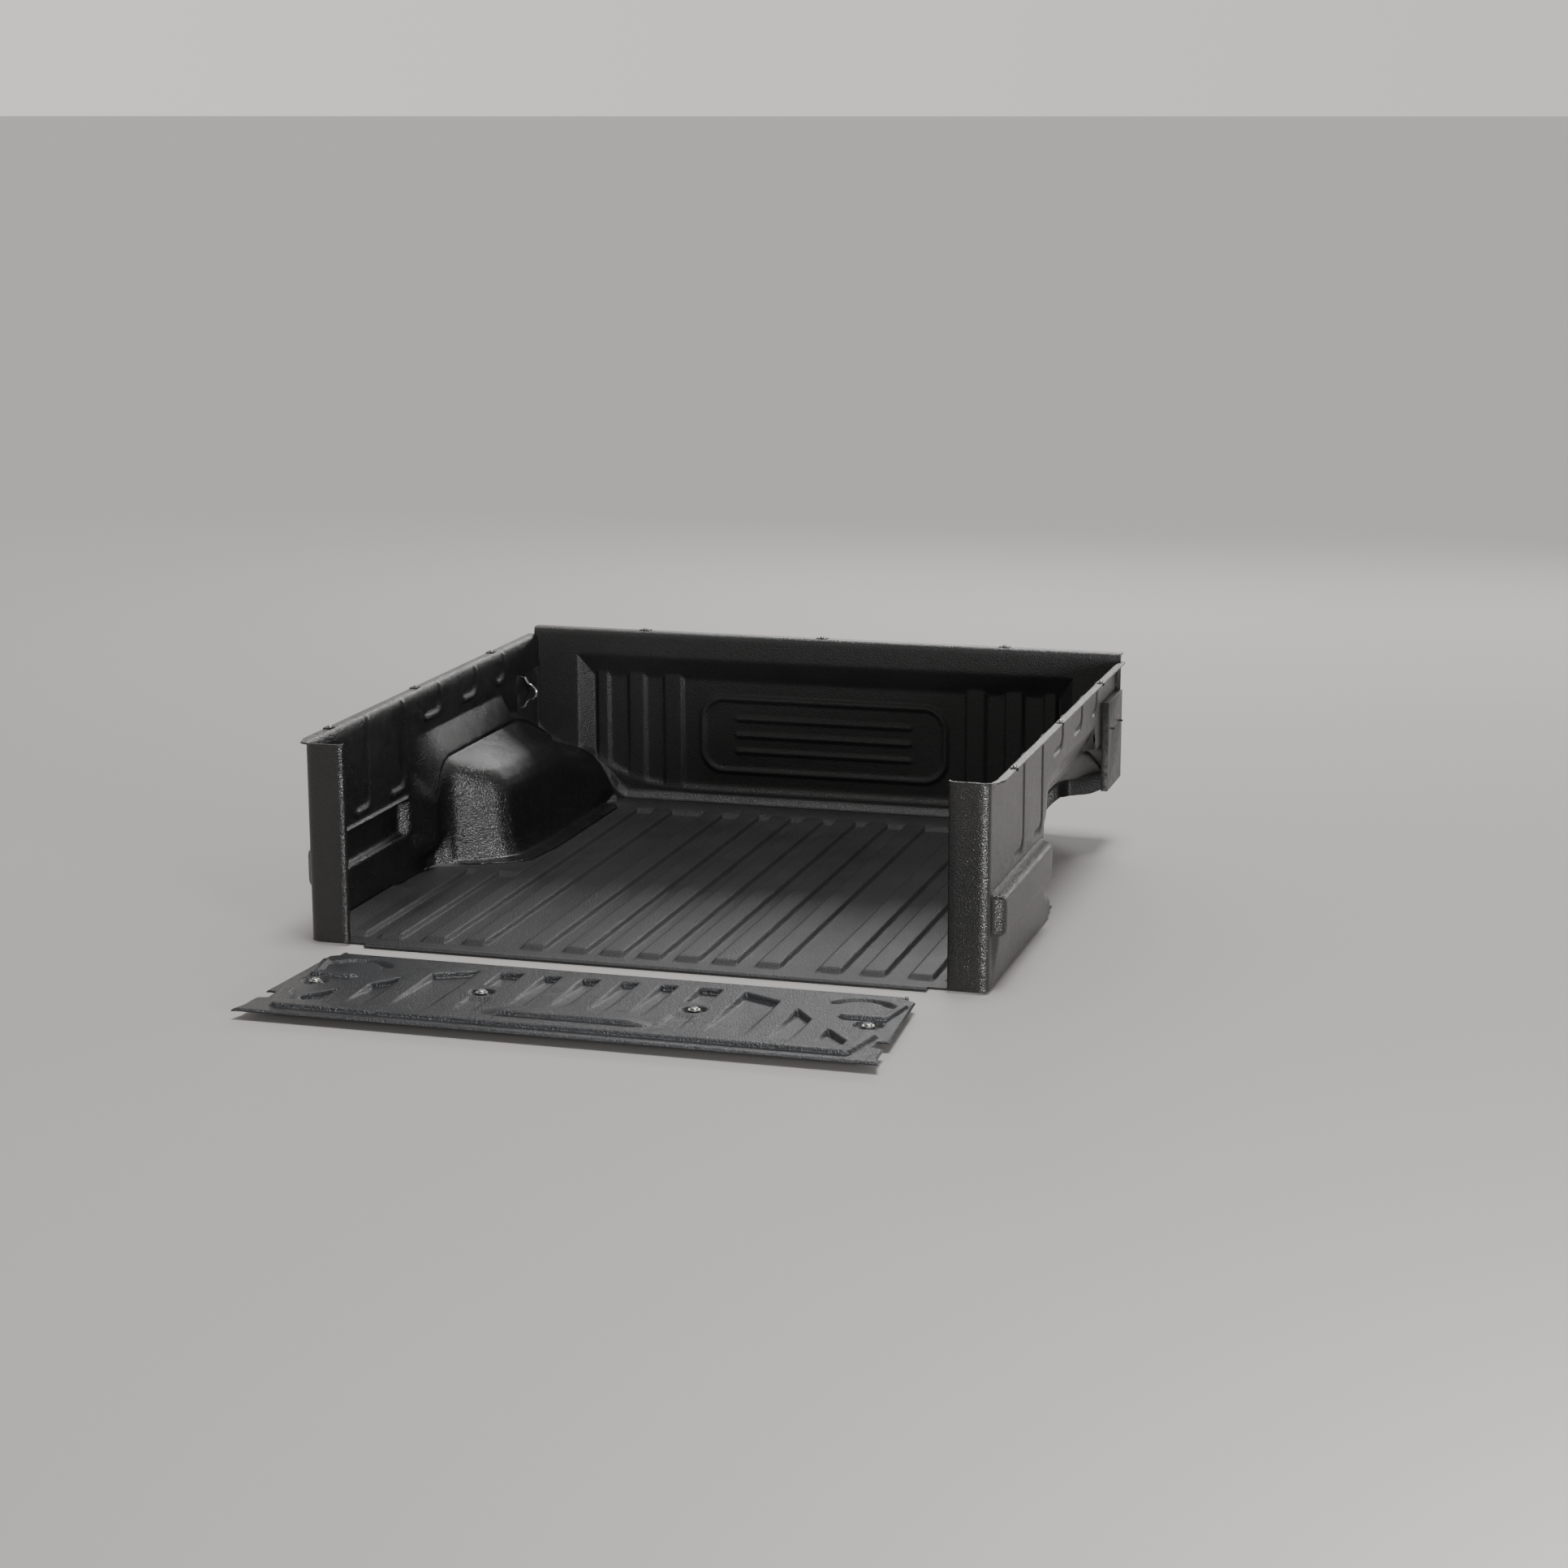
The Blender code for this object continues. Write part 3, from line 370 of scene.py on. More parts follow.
MATERIALS = {
    # Painted shade: the side liners are the same black plastic as the floor, but their base and rubbed
    # colours are darkened to stand for the shade on the side walls.
    "side_plastic_painted_shade": pebbled_plastic(
        "side_plastic_painted_shade", colour=(0.0040, 0.0041, 0.0044), wear_and_highlight=(0.034, 0.034, 0.036),
        roughness=0.27, pebble=0.0036, relief=0.56, shine=0.84),
    # Painted light: the front wall is the same black plastic as the floor, but its base colour is lightened
    # to stand for light on the upright wall.
    "front_plastic_painted_light": pebbled_plastic(
        "front_plastic_painted_light", colour=(0.0240, 0.0241, 0.0246), wear_and_highlight=(0.095, 0.095, 0.097),
        roughness=0.38, pebble=0.0034, relief=0.50, shine=0.70),
    "floor_plastic": pebbled_plastic(
        "floor_plastic", colour=(0.0145, 0.0148, 0.0158), wear_and_highlight=(0.095, 0.096, 0.100),
        roughness=0.46, pebble=0.0034, relief=0.62, shine=0.36),
    # The tailgate's rubbed colour is about ten times its base, mostly as a painted highlight on its rib
    # edges.
    "gate_plastic": pebbled_plastic(
        "gate_plastic", colour=(0.0145, 0.0156, 0.0178), wear_and_highlight=(0.150, 0.153, 0.160),
        roughness=0.32, pebble=0.0034, relief=0.62, shine=0.38),
    "zinc": plated_metal("zinc", bright=(0.50, 0.49, 0.47), dull=(0.32, 0.31, 0.29),
                         roughness=0.34, stain_scale=160.0),
    "chrome": plated_metal("chrome", bright=(0.86, 0.86, 0.87), dull=(0.74, 0.74, 0.76),
                           roughness=0.10, stain_scale=90.0),
    "black_steel": coated_steel("black_steel", colour=(0.014, 0.014, 0.015), bare=(0.40, 0.39, 0.38)),
}


# ---------------------------------------------------------------- small helpers
def ramp(value, start, end):
    """0 before start, 1 after end, straight in between."""
    return np.clip((value - start) / (end - start), 0.0, 1.0)


def lookup(value, table):
    """Straight-line lookup in a short table of (place, height) pairs."""
    places, heights = zip(*table)
    return np.interp(value, places, heights)


def stations(low, high, bends, fine, reach, coarse):
    """Places from low to high: fine steps within reach of every bend, coarse ones elsewhere."""
    places = [low]
    while places[-1] < high - 1e-6:
        here = places[-1]
        if any(abs(here + fine / 2 - bend) < reach for bend in bends):
            places.append(here + fine)
            continue
        ahead = [bend - reach for bend in bends if bend - reach > here + 1e-6]
        places.append(min([here + coarse] + ahead))
    places[-1] = high
    return np.array(places)


def mirrored(places):
    """The places on both sides of the middle, in order."""
    return np.unique(np.round(np.concatenate([-places, places]), 6))


def path_distance(a, b, path):
    """Distance of each point (a, b) from a chain of straight stretches."""
    nearest = np.full(np.shape(a), np.inf)
    for (a0, b0), (a1, b1) in zip(path, path[1:]):
        da, db = a1 - a0, b1 - b0
        share = np.clip(((a - a0) * da + (b - b0) * db) / (da * da + db * db), 0.0, 1.0)
        nearest = np.minimum(nearest, np.hypot(a - a0 - share * da, b - b0 - share * db))
    return nearest


def bead(distance, half, rise, flank):
    """Height of a rounded bead: full on top, falling to nothing at its half width."""
    fall = ramp(distance, half - flank, half)
    return rise * (1.0 - fall * fall * (3.0 - 2.0 * fall))


def soften(height, x, y, reach_x, reach_y):
    """The mean of height(x, y) over a small patch, which rounds every corner of the moulding."""
    total = 0.0
    for step_x, weight_x in ((-1.0, 1), (-0.5, 2), (0.0, 3), (0.5, 2), (1.0, 1)):
        for step_y, weight_y in ((-1.0, 1), (-0.5, 2), (0.0, 3), (0.5, 2), (1.0, 1)):
            total = total + weight_x * weight_y * height(x + step_x * reach_x, y + step_y * reach_y)
    return total / 81.0


def blur(points, passes, axis):
    """Each pass averages a row with its neighbours along the axis; the two end rows stay put."""
    points = np.moveaxis(np.array(points, float), axis, 0)
    for _ in range(passes):
        points[1:-1] = 0.25 * points[:-2] + 0.5 * points[1:-1] + 0.25 * points[2:]
    return np.moveaxis(points, 0, axis)


def resample(points, spacing):
    """Cut each stretch between neighbouring points of every row into the same number of short steps."""
    points = np.array(points, float)
    pieces = []
    for k in range(points.shape[1] - 1):
        start, end = points[:, k], points[:, k + 1]
        count = max(1, math.ceil(np.linalg.norm(end - start, axis=1).max() / spacing))
        shares = np.arange(count) / count
        pieces.append(start[:, None] + (end - start)[:, None] * shares[None, :, None])
    return np.concatenate(pieces + [points[:, -1:]], axis=1), [piece.shape[1] for piece in pieces]


def grid_normals(points, flip):
    """Unit normals of a grid of points."""
    across = np.gradient(points, axis=1)
    along = np.gradient(points, axis=0)
    normals = np.cross(across, along) * (-1.0 if flip else 1.0)
    return normals / np.maximum(np.linalg.norm(normals, axis=2, keepdims=True), 1e-12)


def moulded_sheet(name, points, look, body, keep=None, flip=False, calm=4):
    """A closed sheet over a grid of points, its back offset along calmed normals so that it can't fold."""
    normals = grid_normals(points, flip)
    normals = blur(blur(normals, calm, 0), calm, 1)
    normals /= np.linalg.norm(normals, axis=2, keepdims=True)
    rows, columns = points.shape[:2]
    index = np.arange(rows * columns).reshape(rows, columns)
    quads = np.stack([index[:-1, :-1], index[:-1, 1:], index[1:, 1:], index[1:, :-1]], axis=-1)
    quads = quads[keep] if keep is not None else quads.reshape(-1, 4)
    if flip:
        quads = quads[:, ::-1]
    edges = np.stack([quads, np.roll(quads, -1, axis=1)], axis=-1).reshape(-1, 2)
    ordered = np.sort(edges, axis=1)
    _, first, counts = np.unique(ordered, axis=0, return_index=True, return_counts=True)
    rim = edges[first[counts == 1]]
    total = rows * columns
    rim_quads = np.stack([rim[:, 1], rim[:, 0], rim[:, 0] + total, rim[:, 1] + total], axis=-1)
    faces = np.concatenate([quads, quads[:, ::-1] + total, rim_quads])
    both = np.concatenate([points.reshape(-1, 3), (points - SHEET * normals).reshape(-1, 3)])
    used, renumbered = np.unique(faces, return_inverse=True)
    mesh = bpy.data.meshes.new(name)
    mesh.from_pydata(both[used].tolist(), [], renumbered.reshape(-1, 4).tolist())
    mesh.shade_smooth()
    piece = add_piece(name, mesh, look, body)
    mark_rim(mesh, rim, total, used)
    round_rim = piece.modifiers.new("Rim", "BEVEL")
    round_rim.limit_method = "WEIGHT"
    round_rim.width = RIM_BEVEL
    round_rim.segments = 2
    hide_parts(name)
    return piece


def mark_rim(mesh, rim, total, used):
    """Give the trimmed edges, front and back, the weight that the bevel follows."""
    new_index = {old: new for new, old in enumerate(used.tolist())}
    wanted = set()
    for a, b in rim.tolist():
        for shift in (0, total):
            pair = (new_index[a + shift], new_index[b + shift])
            wanted.add((min(pair), max(pair)))
    weights = mesh.attributes.new("bevel_weight_edge", "FLOAT", "EDGE")
    ends = np.zeros(len(mesh.edges) * 2, int)
    mesh.edges.foreach_get("vertices", ends)
    ends = np.sort(ends.reshape(-1, 2), axis=1)
    weights.data.foreach_set("value", [1.0 if tuple(pair) in wanted else 0.0 for pair in ends.tolist()])


def add_piece(name, mesh, look, body):
    """Put a mesh in the scene as a visible piece that rides on a body."""
    piece = bpy.data.objects.new(f"{name}_look", mesh)
    bpy.context.scene.collection.objects.link(piece)
    mesh.materials.append(MATERIALS[look])
    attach(piece, body)
    return piece


# ---------------------------------------------------------------- floor liner
def rib_share(x):
    """1 on top of a rib, 0 in a groove."""
    side = np.abs(x)
    share = np.zeros_like(side)
    for centre in RIB_CENTRES:
        share = np.maximum(share, 1.0 - ramp(np.abs(side - centre), RIB_HALF_TOP, RIB_HALF_TOP + RIB_FLANK))
    return np.where(side > RIB_CENTRES[-1] + 0.055, ramp(side, 0.691, 0.699), share)


def floor_level(x, y):
    """Height of the floor liner's upper face."""
    side = np.abs(x)
    share = rib_share(x) * ramp(y, 0.025, 0.045)
    raised_arch = ramp(y, 0.645, 0.680) * ramp(side, 0.548, 0.557)
    raised = np.maximum(np.maximum(share, ramp(y, 1.408, 1.435)), raised_arch)
    level = GROOVE_LEVEL + (RIB_LEVEL - GROOVE_LEVEL) * raised
    level = level + (RAMP_TOP_LEVEL - RIB_LEVEL) * ramp(y, 1.435, FLOOR_FRONT)
    upturn = 0.009 * ramp(side, FLOOR_STEP_X, FLOOR_WIDE_HALF) * (1.0 - ramp(y, 0.430, 0.475))
    level = level + upturn * ramp(y, 0.0, 0.045)
    lip = ((FLOOR_REAR, 0.0045), (-0.043, 0.0082), (-0.034, 0.0095), (-0.026, 0.0075),
           (FLOOR_LIP_Y, GROOVE_LEVEL))
    return np.where(y >= lip[-1][0], level, lookup(y, lip))


def build_floor():
    """Corrugated floor with a rolled rear edge and a front ramp, cut back at the pillars and the arches."""
    flanks = [centre + side * (RIB_HALF_TOP + RIB_FLANK / 2) for centre in RIB_CENTRES for side in (-1, 1)]
    steps = [FLOOR_NARROW_HALF, FLOOR_REAR_HALF, FLOOR_STEP_X]
    half = stations(0.0, FLOOR_WIDE_HALF, flanks + [0.5525, 0.695] + steps, 0.0018, 0.008, 0.010)
    half = np.unique(np.concatenate([half, steps]))
    x = mirrored(half)
    y = stations(FLOOR_REAR, FLOOR_FRONT, [-0.035, -0.022, 0.035, 0.4525, 0.662, 1.421, 1.436], 0.0026,
                 0.016, 0.020)
    y = np.unique(np.concatenate([y, [FLOOR_LIP_Y, FLOOR_STEP_Y, NARROW_FROM_Y]]))
    grid_x, grid_y = np.meshgrid(x, y)
    level = soften(floor_level, grid_x, grid_y, 0.0034, 0.0060)
    points = np.stack([grid_x, grid_y, np.minimum(level, RAMP_TOP_LEVEL)], axis=-1)
    middle_x = np.abs(x[:-1] + x[1:]) / 2
    middle_y = (y[:-1] + y[1:]) / 2
    cell_x, cell_y = np.meshgrid(middle_x, middle_y)
    dropped = (cell_x > FLOOR_NARROW_HALF) & (cell_y > NARROW_FROM_Y)
    dropped |= (cell_x > FLOOR_STEP_X) & (cell_y > FLOOR_STEP_Y)
    dropped |= (cell_x > FLOOR_REAR_HALF) & (cell_y < FLOOR_LIP_Y)
    moulded_sheet("floor_liner", points, "floor_plastic", "bed", keep=~dropped)


# ---------------------------------------------------------------- front wall liner
def toe_line(side):
    """Height of the upper toe edge, which sweeps up round the wheel arch."""
    return lookup(side, ((0.36, 0.058), (0.45, 0.062), (0.494, 0.068), (0.541, 0.081), (0.588, 0.099),
                         (0.640, 0.126), (0.677, 0.154), (0.740, 0.166), (0.780, 0.185), (FRONT_HALF, 0.226)))


def foot_line(side):
    """Height of the lowest visible edge of the front wall liner."""
    return lookup(side, ((0.556, RAMP_TOP_LEVEL + 0.002), (0.580, 0.045), (0.605, 0.080), (0.630, 0.112),
                         (0.655, 0.134), (0.700, 0.146), (0.740, 0.152), (0.780, 0.171), (FRONT_HALF, 0.212)))


def front_rib(side):
    """Rise of the upright ribs beside the framed panel."""
    rise = 0.0
    for low, high in FRONT_RIBS:
        up, down = ramp(side, low - FRONT_RIB_FLANK, low), ramp(side, high, high + FRONT_RIB_FLANK)
        rise = max(rise, FRONT_RIB_RISE * up * (1.0 - down))
    return rise


def front_profile(x):
    """Points (y, z) of the front wall's visible face from its foot to its top lip."""
    side = abs(x)
    share = 1.0 - ramp(side, 0.652, 0.690)
    recess = (FIELD_Y - FRAME_Y) * share
    wall = FRAME_Y + recess - front_rib(side)
    foot, toe = foot_line(side), toe_line(side)
    tread = min(0.020, (toe - foot) * 0.6)
    ledge_y = max(FRAME_Y + recess - 0.0115, SIDE_FRONT + 0.0018)
    foot_y = ledge_y - tread * share
    top_of_field = 0.422 - 0.059 * (wall - FRAME_Y) / (FIELD_Y - FRAME_Y)
    skirt = foot - 0.012 - 0.023 * ramp(side, 0.550, 0.605)
    return (
        (max(foot_y - 0.0005 - 0.0055 * (1.0 - ramp(side, 0.550, 0.565)), SIDE_FRONT + 0.0015), skirt),
        (foot_y, skirt),
        (foot_y, foot),
        (ledge_y - 0.0005, foot + tread),
        (ledge_y, toe - 0.003),
        (ledge_y + 0.001, toe),
        (wall, toe + 0.0125),
        (wall, top_of_field),
        (FRAME_Y, 0.4225),
        (FRAME_Y, FRONT_TOP - 0.010),
        (FRAME_Y + 0.004, FRONT_TOP),
        (FRAME_Y + 0.034, FRONT_TOP),
    )


def framed_panel(x, z):
    """Rise of the plain framed panel: a rounded frame with three level bars."""
    half_x, half_z, corner = 0.340, 0.100, 0.060
    out_x = np.abs(x) - (half_x - corner)
    out_z = np.abs(z - PANEL_MIDDLE) - (half_z - corner)
    outside = np.hypot(np.maximum(out_x, 0), np.maximum(out_z, 0))
    outline = outside + np.minimum(np.maximum(out_x, out_z), 0) - corner
    rise = bead(np.abs(outline), 0.010, 0.006, 0.006)
    for step in (-0.045, 0.0, 0.045):
        bar = path_distance(x, z, ((-0.240, PANEL_MIDDLE + step), (0.240, PANEL_MIDDLE + step)))
        rise = np.maximum(rise, bead(bar, 0.009, 0.005, 0.005))
    return rise


def build_front_wall():
    """Recessed field with the framed panel, upright ribs at its sides and a ledge along its toe."""
    flank = FRONT_RIB_FLANK / 2
    bends = [edge for low, high in FRONT_RIBS for edge in (low - flank, high + flank)]
    x = mirrored(stations(0.0, FRONT_HALF, bends + [0.560, 0.652, 0.690], 0.0022, 0.007, 0.0045))
    rows = [[(place, y, z) for y, z in front_profile(place)] for place in x]
    points, _ = resample(rows, 0.0045)
    points = blur(blur(points, 2, 1), 2, 0)
    on_field = (np.abs(points[..., 0]) < 0.40) & (points[..., 2] > 0.09) & (points[..., 2] < 0.35)
    points[..., 1] -= np.where(on_field, framed_panel(points[..., 0], points[..., 2]), 0.0)
    moulded_sheet("front_wall_liner", points, "front_plastic_painted_light", "bed", flip=True)


# ---------------------------------------------------------------- side liners
def seam_x(y):
    """Where the side liner's lower edge meets the floor."""
    return lookup(y, ((0.645, 0.8005), (0.680, 0.782), (0.700, 0.725), (0.716, 0.673), (0.754, 0.605),
                      (0.798, 0.570), (0.930, 0.556), (1.415, 0.555), (1.450, 0.566), (SIDE_FRONT, 0.580)))


def seam_z(y):
    """Height of that edge: beside the floor at the rear, on top of it round the arch."""
    flange = RIB_LEVEL + SHEET + 0.0007
    edge = lookup(y, ((0.600, 0.006), (0.645, RIB_LEVEL - 0.0008), (0.690, flange)))
    return edge + (RAMP_TOP_LEVEL + 0.006 - RIB_LEVEL) * ramp(y, 1.432, SIDE_FRONT)


def arch_foot(y):
    """Distance of the arch box's foot from the centre line."""
    return lookup(y, ((0.664, 0.765), (0.690, 0.755), (0.715, 0.738), (0.745, 0.690), (0.785, 0.637),
                      (0.820, 0.612), (0.920, 0.600), (1.415, 0.598), (SIDE_FRONT, 0.586)))


def arch_top(y):
    """Height of the valley between the arch box and its collar."""
    reach = np.clip((y - ARCH_REAR) / ARCH_CORNER, 0.0, 1.0)
    rear = ARCH_TOP - ARCH_CORNER * (1.0 - math.sqrt(1.0 - (1.0 - reach) ** 2))
    front = ARCH_TOP - 0.106 * ramp(y, 1.195, SIDE_FRONT) ** 1.5
    return min(rear, front)


def opening_low(y):
    """Lower edge of the hook opening, which follows the collar down to the front."""
    return lookup(y, ((1.290, 0.300), (HOOK_OPENING_Y, 0.283), (1.369, 0.240), (1.418, 0.214),
                      (SIDE_FRONT, 0.196)))


def rear_section(y):
    """The side liner's section behind the wheel arch: pocket, ledge and plain wall."""
    low = seam_z(y)
    fade = ramp(y, 0.0, 0.015) * (1.0 - ramp(y, 0.535, 0.555))
    lower = 0.012 * ramp(y, 0.0, 0.015) * (1.0 - ramp(y, 0.50, 0.60))
    return [
        (WALL_X + 0.0005, low), (WALL_X + 0.002, low + 0.018), (WALL_X + 0.4 * lower, 0.055),
        (WALL_X + 0.8 * lower, 0.090), (WALL_X + lower, 0.121), (WALL_X + POCKET_DEPTH * fade, 0.128),
        (WALL_X + POCKET_DEPTH * fade, 0.205), (WALL_X + 0.006 * fade, 0.212), (WALL_X - 0.006 * fade, 0.219),
        (WALL_X, 0.228), (WALL_X, 0.300), (WALL_X, 0.360),
    ]


def arch_section(y):
    """The side liner's section over the wheel arch: foot flange, box, valley and collar."""
    foot, low = seam_x(y), seam_z(y)
    base = arch_foot(y)
    share = (ARCH_FOOT_X - base) / (ARCH_FOOT_X - ARCH_BOX_X)
    top = arch_top(y)
    squat = top / ARCH_TOP
    inner = max(base, foot)
    collar_x = WALL_X - (WALL_X - ARCH_FOOT_X) * ramp(y, 0.575, ARCH_REAR - 0.004)
    collar_top = min(0.359, opening_low(y) - 0.004) if y > 1.2 else 0.359
    box = [
        (inner + 0.012 * share, low + 0.040 * squat), (base + 0.019 * share, low + 0.095 * squat),
        (base + 0.024 * share, top - 0.116 * squat), (base + 0.030 * share, top - 0.092 * squat),
        (base + 0.042 * share, top - 0.070 * squat), (base + 0.067 * share, top - 0.043 * squat),
        (base + 0.112 * share, top - 0.024 * squat),
    ]
    front_box = ((0.597, 0.066), (0.610, 0.092), (0.622, 0.112), (0.636, 0.130), (0.652, 0.147),
                 (0.678, 0.160), (0.720, 0.168))
    mix = ramp(y, 0.980, SIDE_FRONT) ** 2
    box = [((1 - mix) * x + mix * u, (1 - mix) * z + mix * v) for (x, z), (u, v) in zip(box, front_box)]
    return [(foot, low), (inner, low + 0.003)] + box + [
        (ARCH_FOOT_X + 0.003, top - 0.002), (collar_x + 0.002, top + 0.008),
        (WALL_X, collar_top),
    ]


def side_profile(y):
    """Points (distance from the centre line, z) of the side liner's visible face, foot to rail."""
    mix = ramp(y, 0.560, ARCH_REAR - 0.010)
    section = [((1 - mix) * a[0] + mix * b[0], (1 - mix) * a[1] + mix * b[1])
               for a, b in zip(rear_section(y), arch_section(y))]
    above = 0.368 if y < 1.2 else min(0.368, opening_low(y))
    return section + [(WALL_X, above), (WALL_X, HOOK_OPENING_HIGH), (WALL_X, 0.455), (WALL_X + 0.003, 0.470),
                      (WALL_X + 0.008, SIDE_TOP), (WALL_X + RAIL_LIP, SIDE_TOP)]


def opening_columns(counts):
    """First and last column of the profile stretch that the hook opening takes out."""
    before = 12                       # stretches of the profile below the opening
    return sum(counts[:before]), sum(counts[:before + 1])


def hooked_path(place, low, reach):
    """A rib that runs straight down from the rail and then curls to the rear."""
    bend, top, steps = 0.034, 0.462, 8
    path = [(place, top)]
    for k in range(steps + 1):
        turn = math.pi / 2 * k / steps
        path.append((place - bend + bend * math.cos(turn), low + bend - bend * math.sin(turn)))
    return path + [(place - reach, low)]


def return_flange(levels):
    """Rows of the flange that turns in behind the rear pillar, from its free edge to the wall."""
    turn = ((REAR_OPENING_HALF + 0.001, -0.024), (REAR_OPENING_HALF, -0.031),
            (REAR_OPENING_HALF + 0.006, -0.036), (WALL_X - 0.010, -0.036), (WALL_X, -0.028), (WALL_X, 0.0))
    stretch, _ = resample([[(a, b, 0.0) for a, b in turn]], 0.005)
    rows = []
    for inset, place, _ in stretch[0][:-1]:
        row = [(inset, place, z) for _, z in levels[:-1]]
        row[-1] = (inset, place, SIDE_TOP - 0.0015)
        rows.append(row + [(inset + 0.020 * ramp(inset, 0.780, WALL_X), place, SIDE_TOP)])
    return rows


def build_side(name, sign):
    """One side liner; it is worked out on the right and mirrored by the sign."""
    levels = side_profile(0.0)
    rows = return_flange(levels)
    first = len(rows)
    places = np.unique(np.concatenate([np.arange(0.0, SIDE_FRONT, 0.005), [SIDE_FRONT]]))
    rows += [[(x, y, z) for x, z in side_profile(y)] for y in places]
    points, counts = resample(rows, 0.0055)
    crisp = points
    points = blur(blur(points, 4, 1), 3, 0)
    foot = 1.0 - ramp(np.arange(points.shape[1]), 0, 4)[None, :, None]
    points = foot * crisp + (1.0 - foot) * points
    x, y, z = points[..., 0], points[..., 1], points[..., 2]
    rise = np.zeros_like(x)
    for rib in HOOKED_RIBS:
        rise = np.maximum(rise, bead(path_distance(y, z, hooked_path(*rib)), 0.012, 0.0055, 0.008))
    rise *= ramp(x, WALL_X - 0.010, WALL_X - 0.004)
    points[..., 0] = x - rise
    start, end = opening_columns(counts)
    keep = np.ones((points.shape[0] - 1, points.shape[1] - 1), bool)
    opened = np.searchsorted(places, HOOK_OPENING_Y - 1e-6) + first
    keep[opened:, start:end] = False
    points[..., 0] *= sign
    moulded_sheet(name, points, "side_plastic_painted_shade", "bed", keep=keep, flip=(sign < 0))


# ---------------------------------------------------------------- tailgate liner
def gate_half(y):
    """Half width of the tailgate liner."""
    return lookup(-y, ((0.173, 0.650), (0.190, 0.655), (0.206, 0.683), (0.498, 0.700), (0.504, 0.677),
                       (0.545, 0.677), (0.551, 0.700), (0.610, 0.703), (0.644, 0.713)))


def gate_grooves(x, y):
    """Depth of the corrugation, deepest at its slanted hinge-side start and fading to the outer end."""
    side = np.abs(x)
    start = lookup(side, ((0.300, 0.225), (0.400, 0.275), (0.430, 0.290), (0.500, 0.385), (0.540, 0.425),
                          (0.612, 0.515), (0.650, 0.530)))
    end = np.maximum(lookup(side, ((0.200, 0.470), (0.210, 0.545), (0.700, 0.545))), start + 0.025)
    depth = GATE_GROOVE * (1.0 - rib_share(x)) * (side < 0.630)
    fade = ramp(-y, start, start + 0.006) * (1.0 - ramp(-y, start + 0.006, end))
    beside_bolt = (side > 0.20) & (side < 0.26)
    plug = ramp(-y, 0.329, 0.336) * (1.0 - ramp(-y, 0.418, 0.450))
    return np.where(beside_bolt, depth * fade * (1.0 - plug), depth * fade)


def gate_level(x, y):
    """Height of the tailgate liner's upper face."""
    side = np.abs(x)
    level = -gate_grooves(x, y)
    middle, half, flank = GATE_BEAD
    long_bead = bead(path_distance(side, y, ((0.0, middle), (0.626, middle))), half, GATE_BEAD_RISE, flank)
    turn = bead(path_distance(side, y, ((0.634, -0.575), (0.655, -0.478))), 0.017, GATE_BEAD_RISE, 0.008)
    turn = turn * ramp(-y, 0.470, 0.482)
    short_bead = bead(path_distance(side, y, ((0.0, -0.515), (0.140, -0.515), (0.175, -0.520))), 0.020,
                      GATE_BEAD_RISE, 0.009) * (1.0 - ramp(side, 0.140, 0.192))
    bar_path = ((0.563, -0.3525), (0.652, -0.3525), (0.668, -0.2550))
    bar = bead(path_distance(side, y, bar_path), 0.012, 0.007, 0.006)
    level = level + np.maximum(np.maximum(long_bead, turn), np.maximum(short_bead, bar))
    spread = np.hypot((side - 0.580) / 0.066, (y + 0.276) / 0.052)
    arc = bead(np.abs(spread - 1.0) * 0.055, 0.014, 0.008, 0.010) * ramp(y, -0.268, -0.252)
    level = level - arc
    for (bolt_x, bolt_y), (wide, deep, depth) in zip(GATE_BOLTS, GATE_CUPS):
        reach = np.hypot((side - bolt_x) / wide, (y - bolt_y) / deep)
        seat = 1.0 - ramp(reach, 0.80, 1.0)
        level = level * (1.0 - seat) - depth * seat
        level = level + (depth - GATE_DISH) * (1.0 - ramp(reach, 0.42, 0.52))
    edge = np.minimum(gate_half(y) - side, np.minimum(GATE_HINGE_EDGE - y, y - GATE_OUTER_EDGE))
    return GATE_LEVEL + level - 0.004 * (1.0 - ramp(edge, 0.0, 0.007)) ** 2


def build_tailgate():
    """The tailgate's sheet; its outer columns follow the notched edge."""
    half = np.linspace(0.0, 1.0, 224)
    share = mirrored(half)
    y = stations(GATE_OUTER_EDGE, GATE_HINGE_EDGE,
                 [-0.640, -0.611, -0.588, -0.567, -0.551, -0.545, -0.504, -0.498, -0.206, -0.190, -0.178],
                 0.0022, 0.008, 0.0030)
    y = np.unique(np.round(np.concatenate([y, [-0.551, -0.545, -0.504, -0.498]]), 5))
    grid_share, grid_y = np.meshgrid(share, y)
    beyond = (np.abs(grid_share) * GATE_WIDEST - GATE_STRAIGHT) / (GATE_WIDEST - GATE_STRAIGHT)
    following = np.sign(grid_share) * (GATE_STRAIGHT + (gate_half(grid_y) - GATE_STRAIGHT) * beyond)
    grid_x = np.where(np.abs(grid_share) <= GATE_STRAIGHT / GATE_WIDEST, grid_share * GATE_WIDEST, following)
    level = soften(gate_level, grid_x, grid_y, 0.0016, 0.0016)
    points = np.stack([grid_x, grid_y, level], axis=-1)
    moulded_sheet("tailgate_liner", points, "gate_plastic", "tailgate")


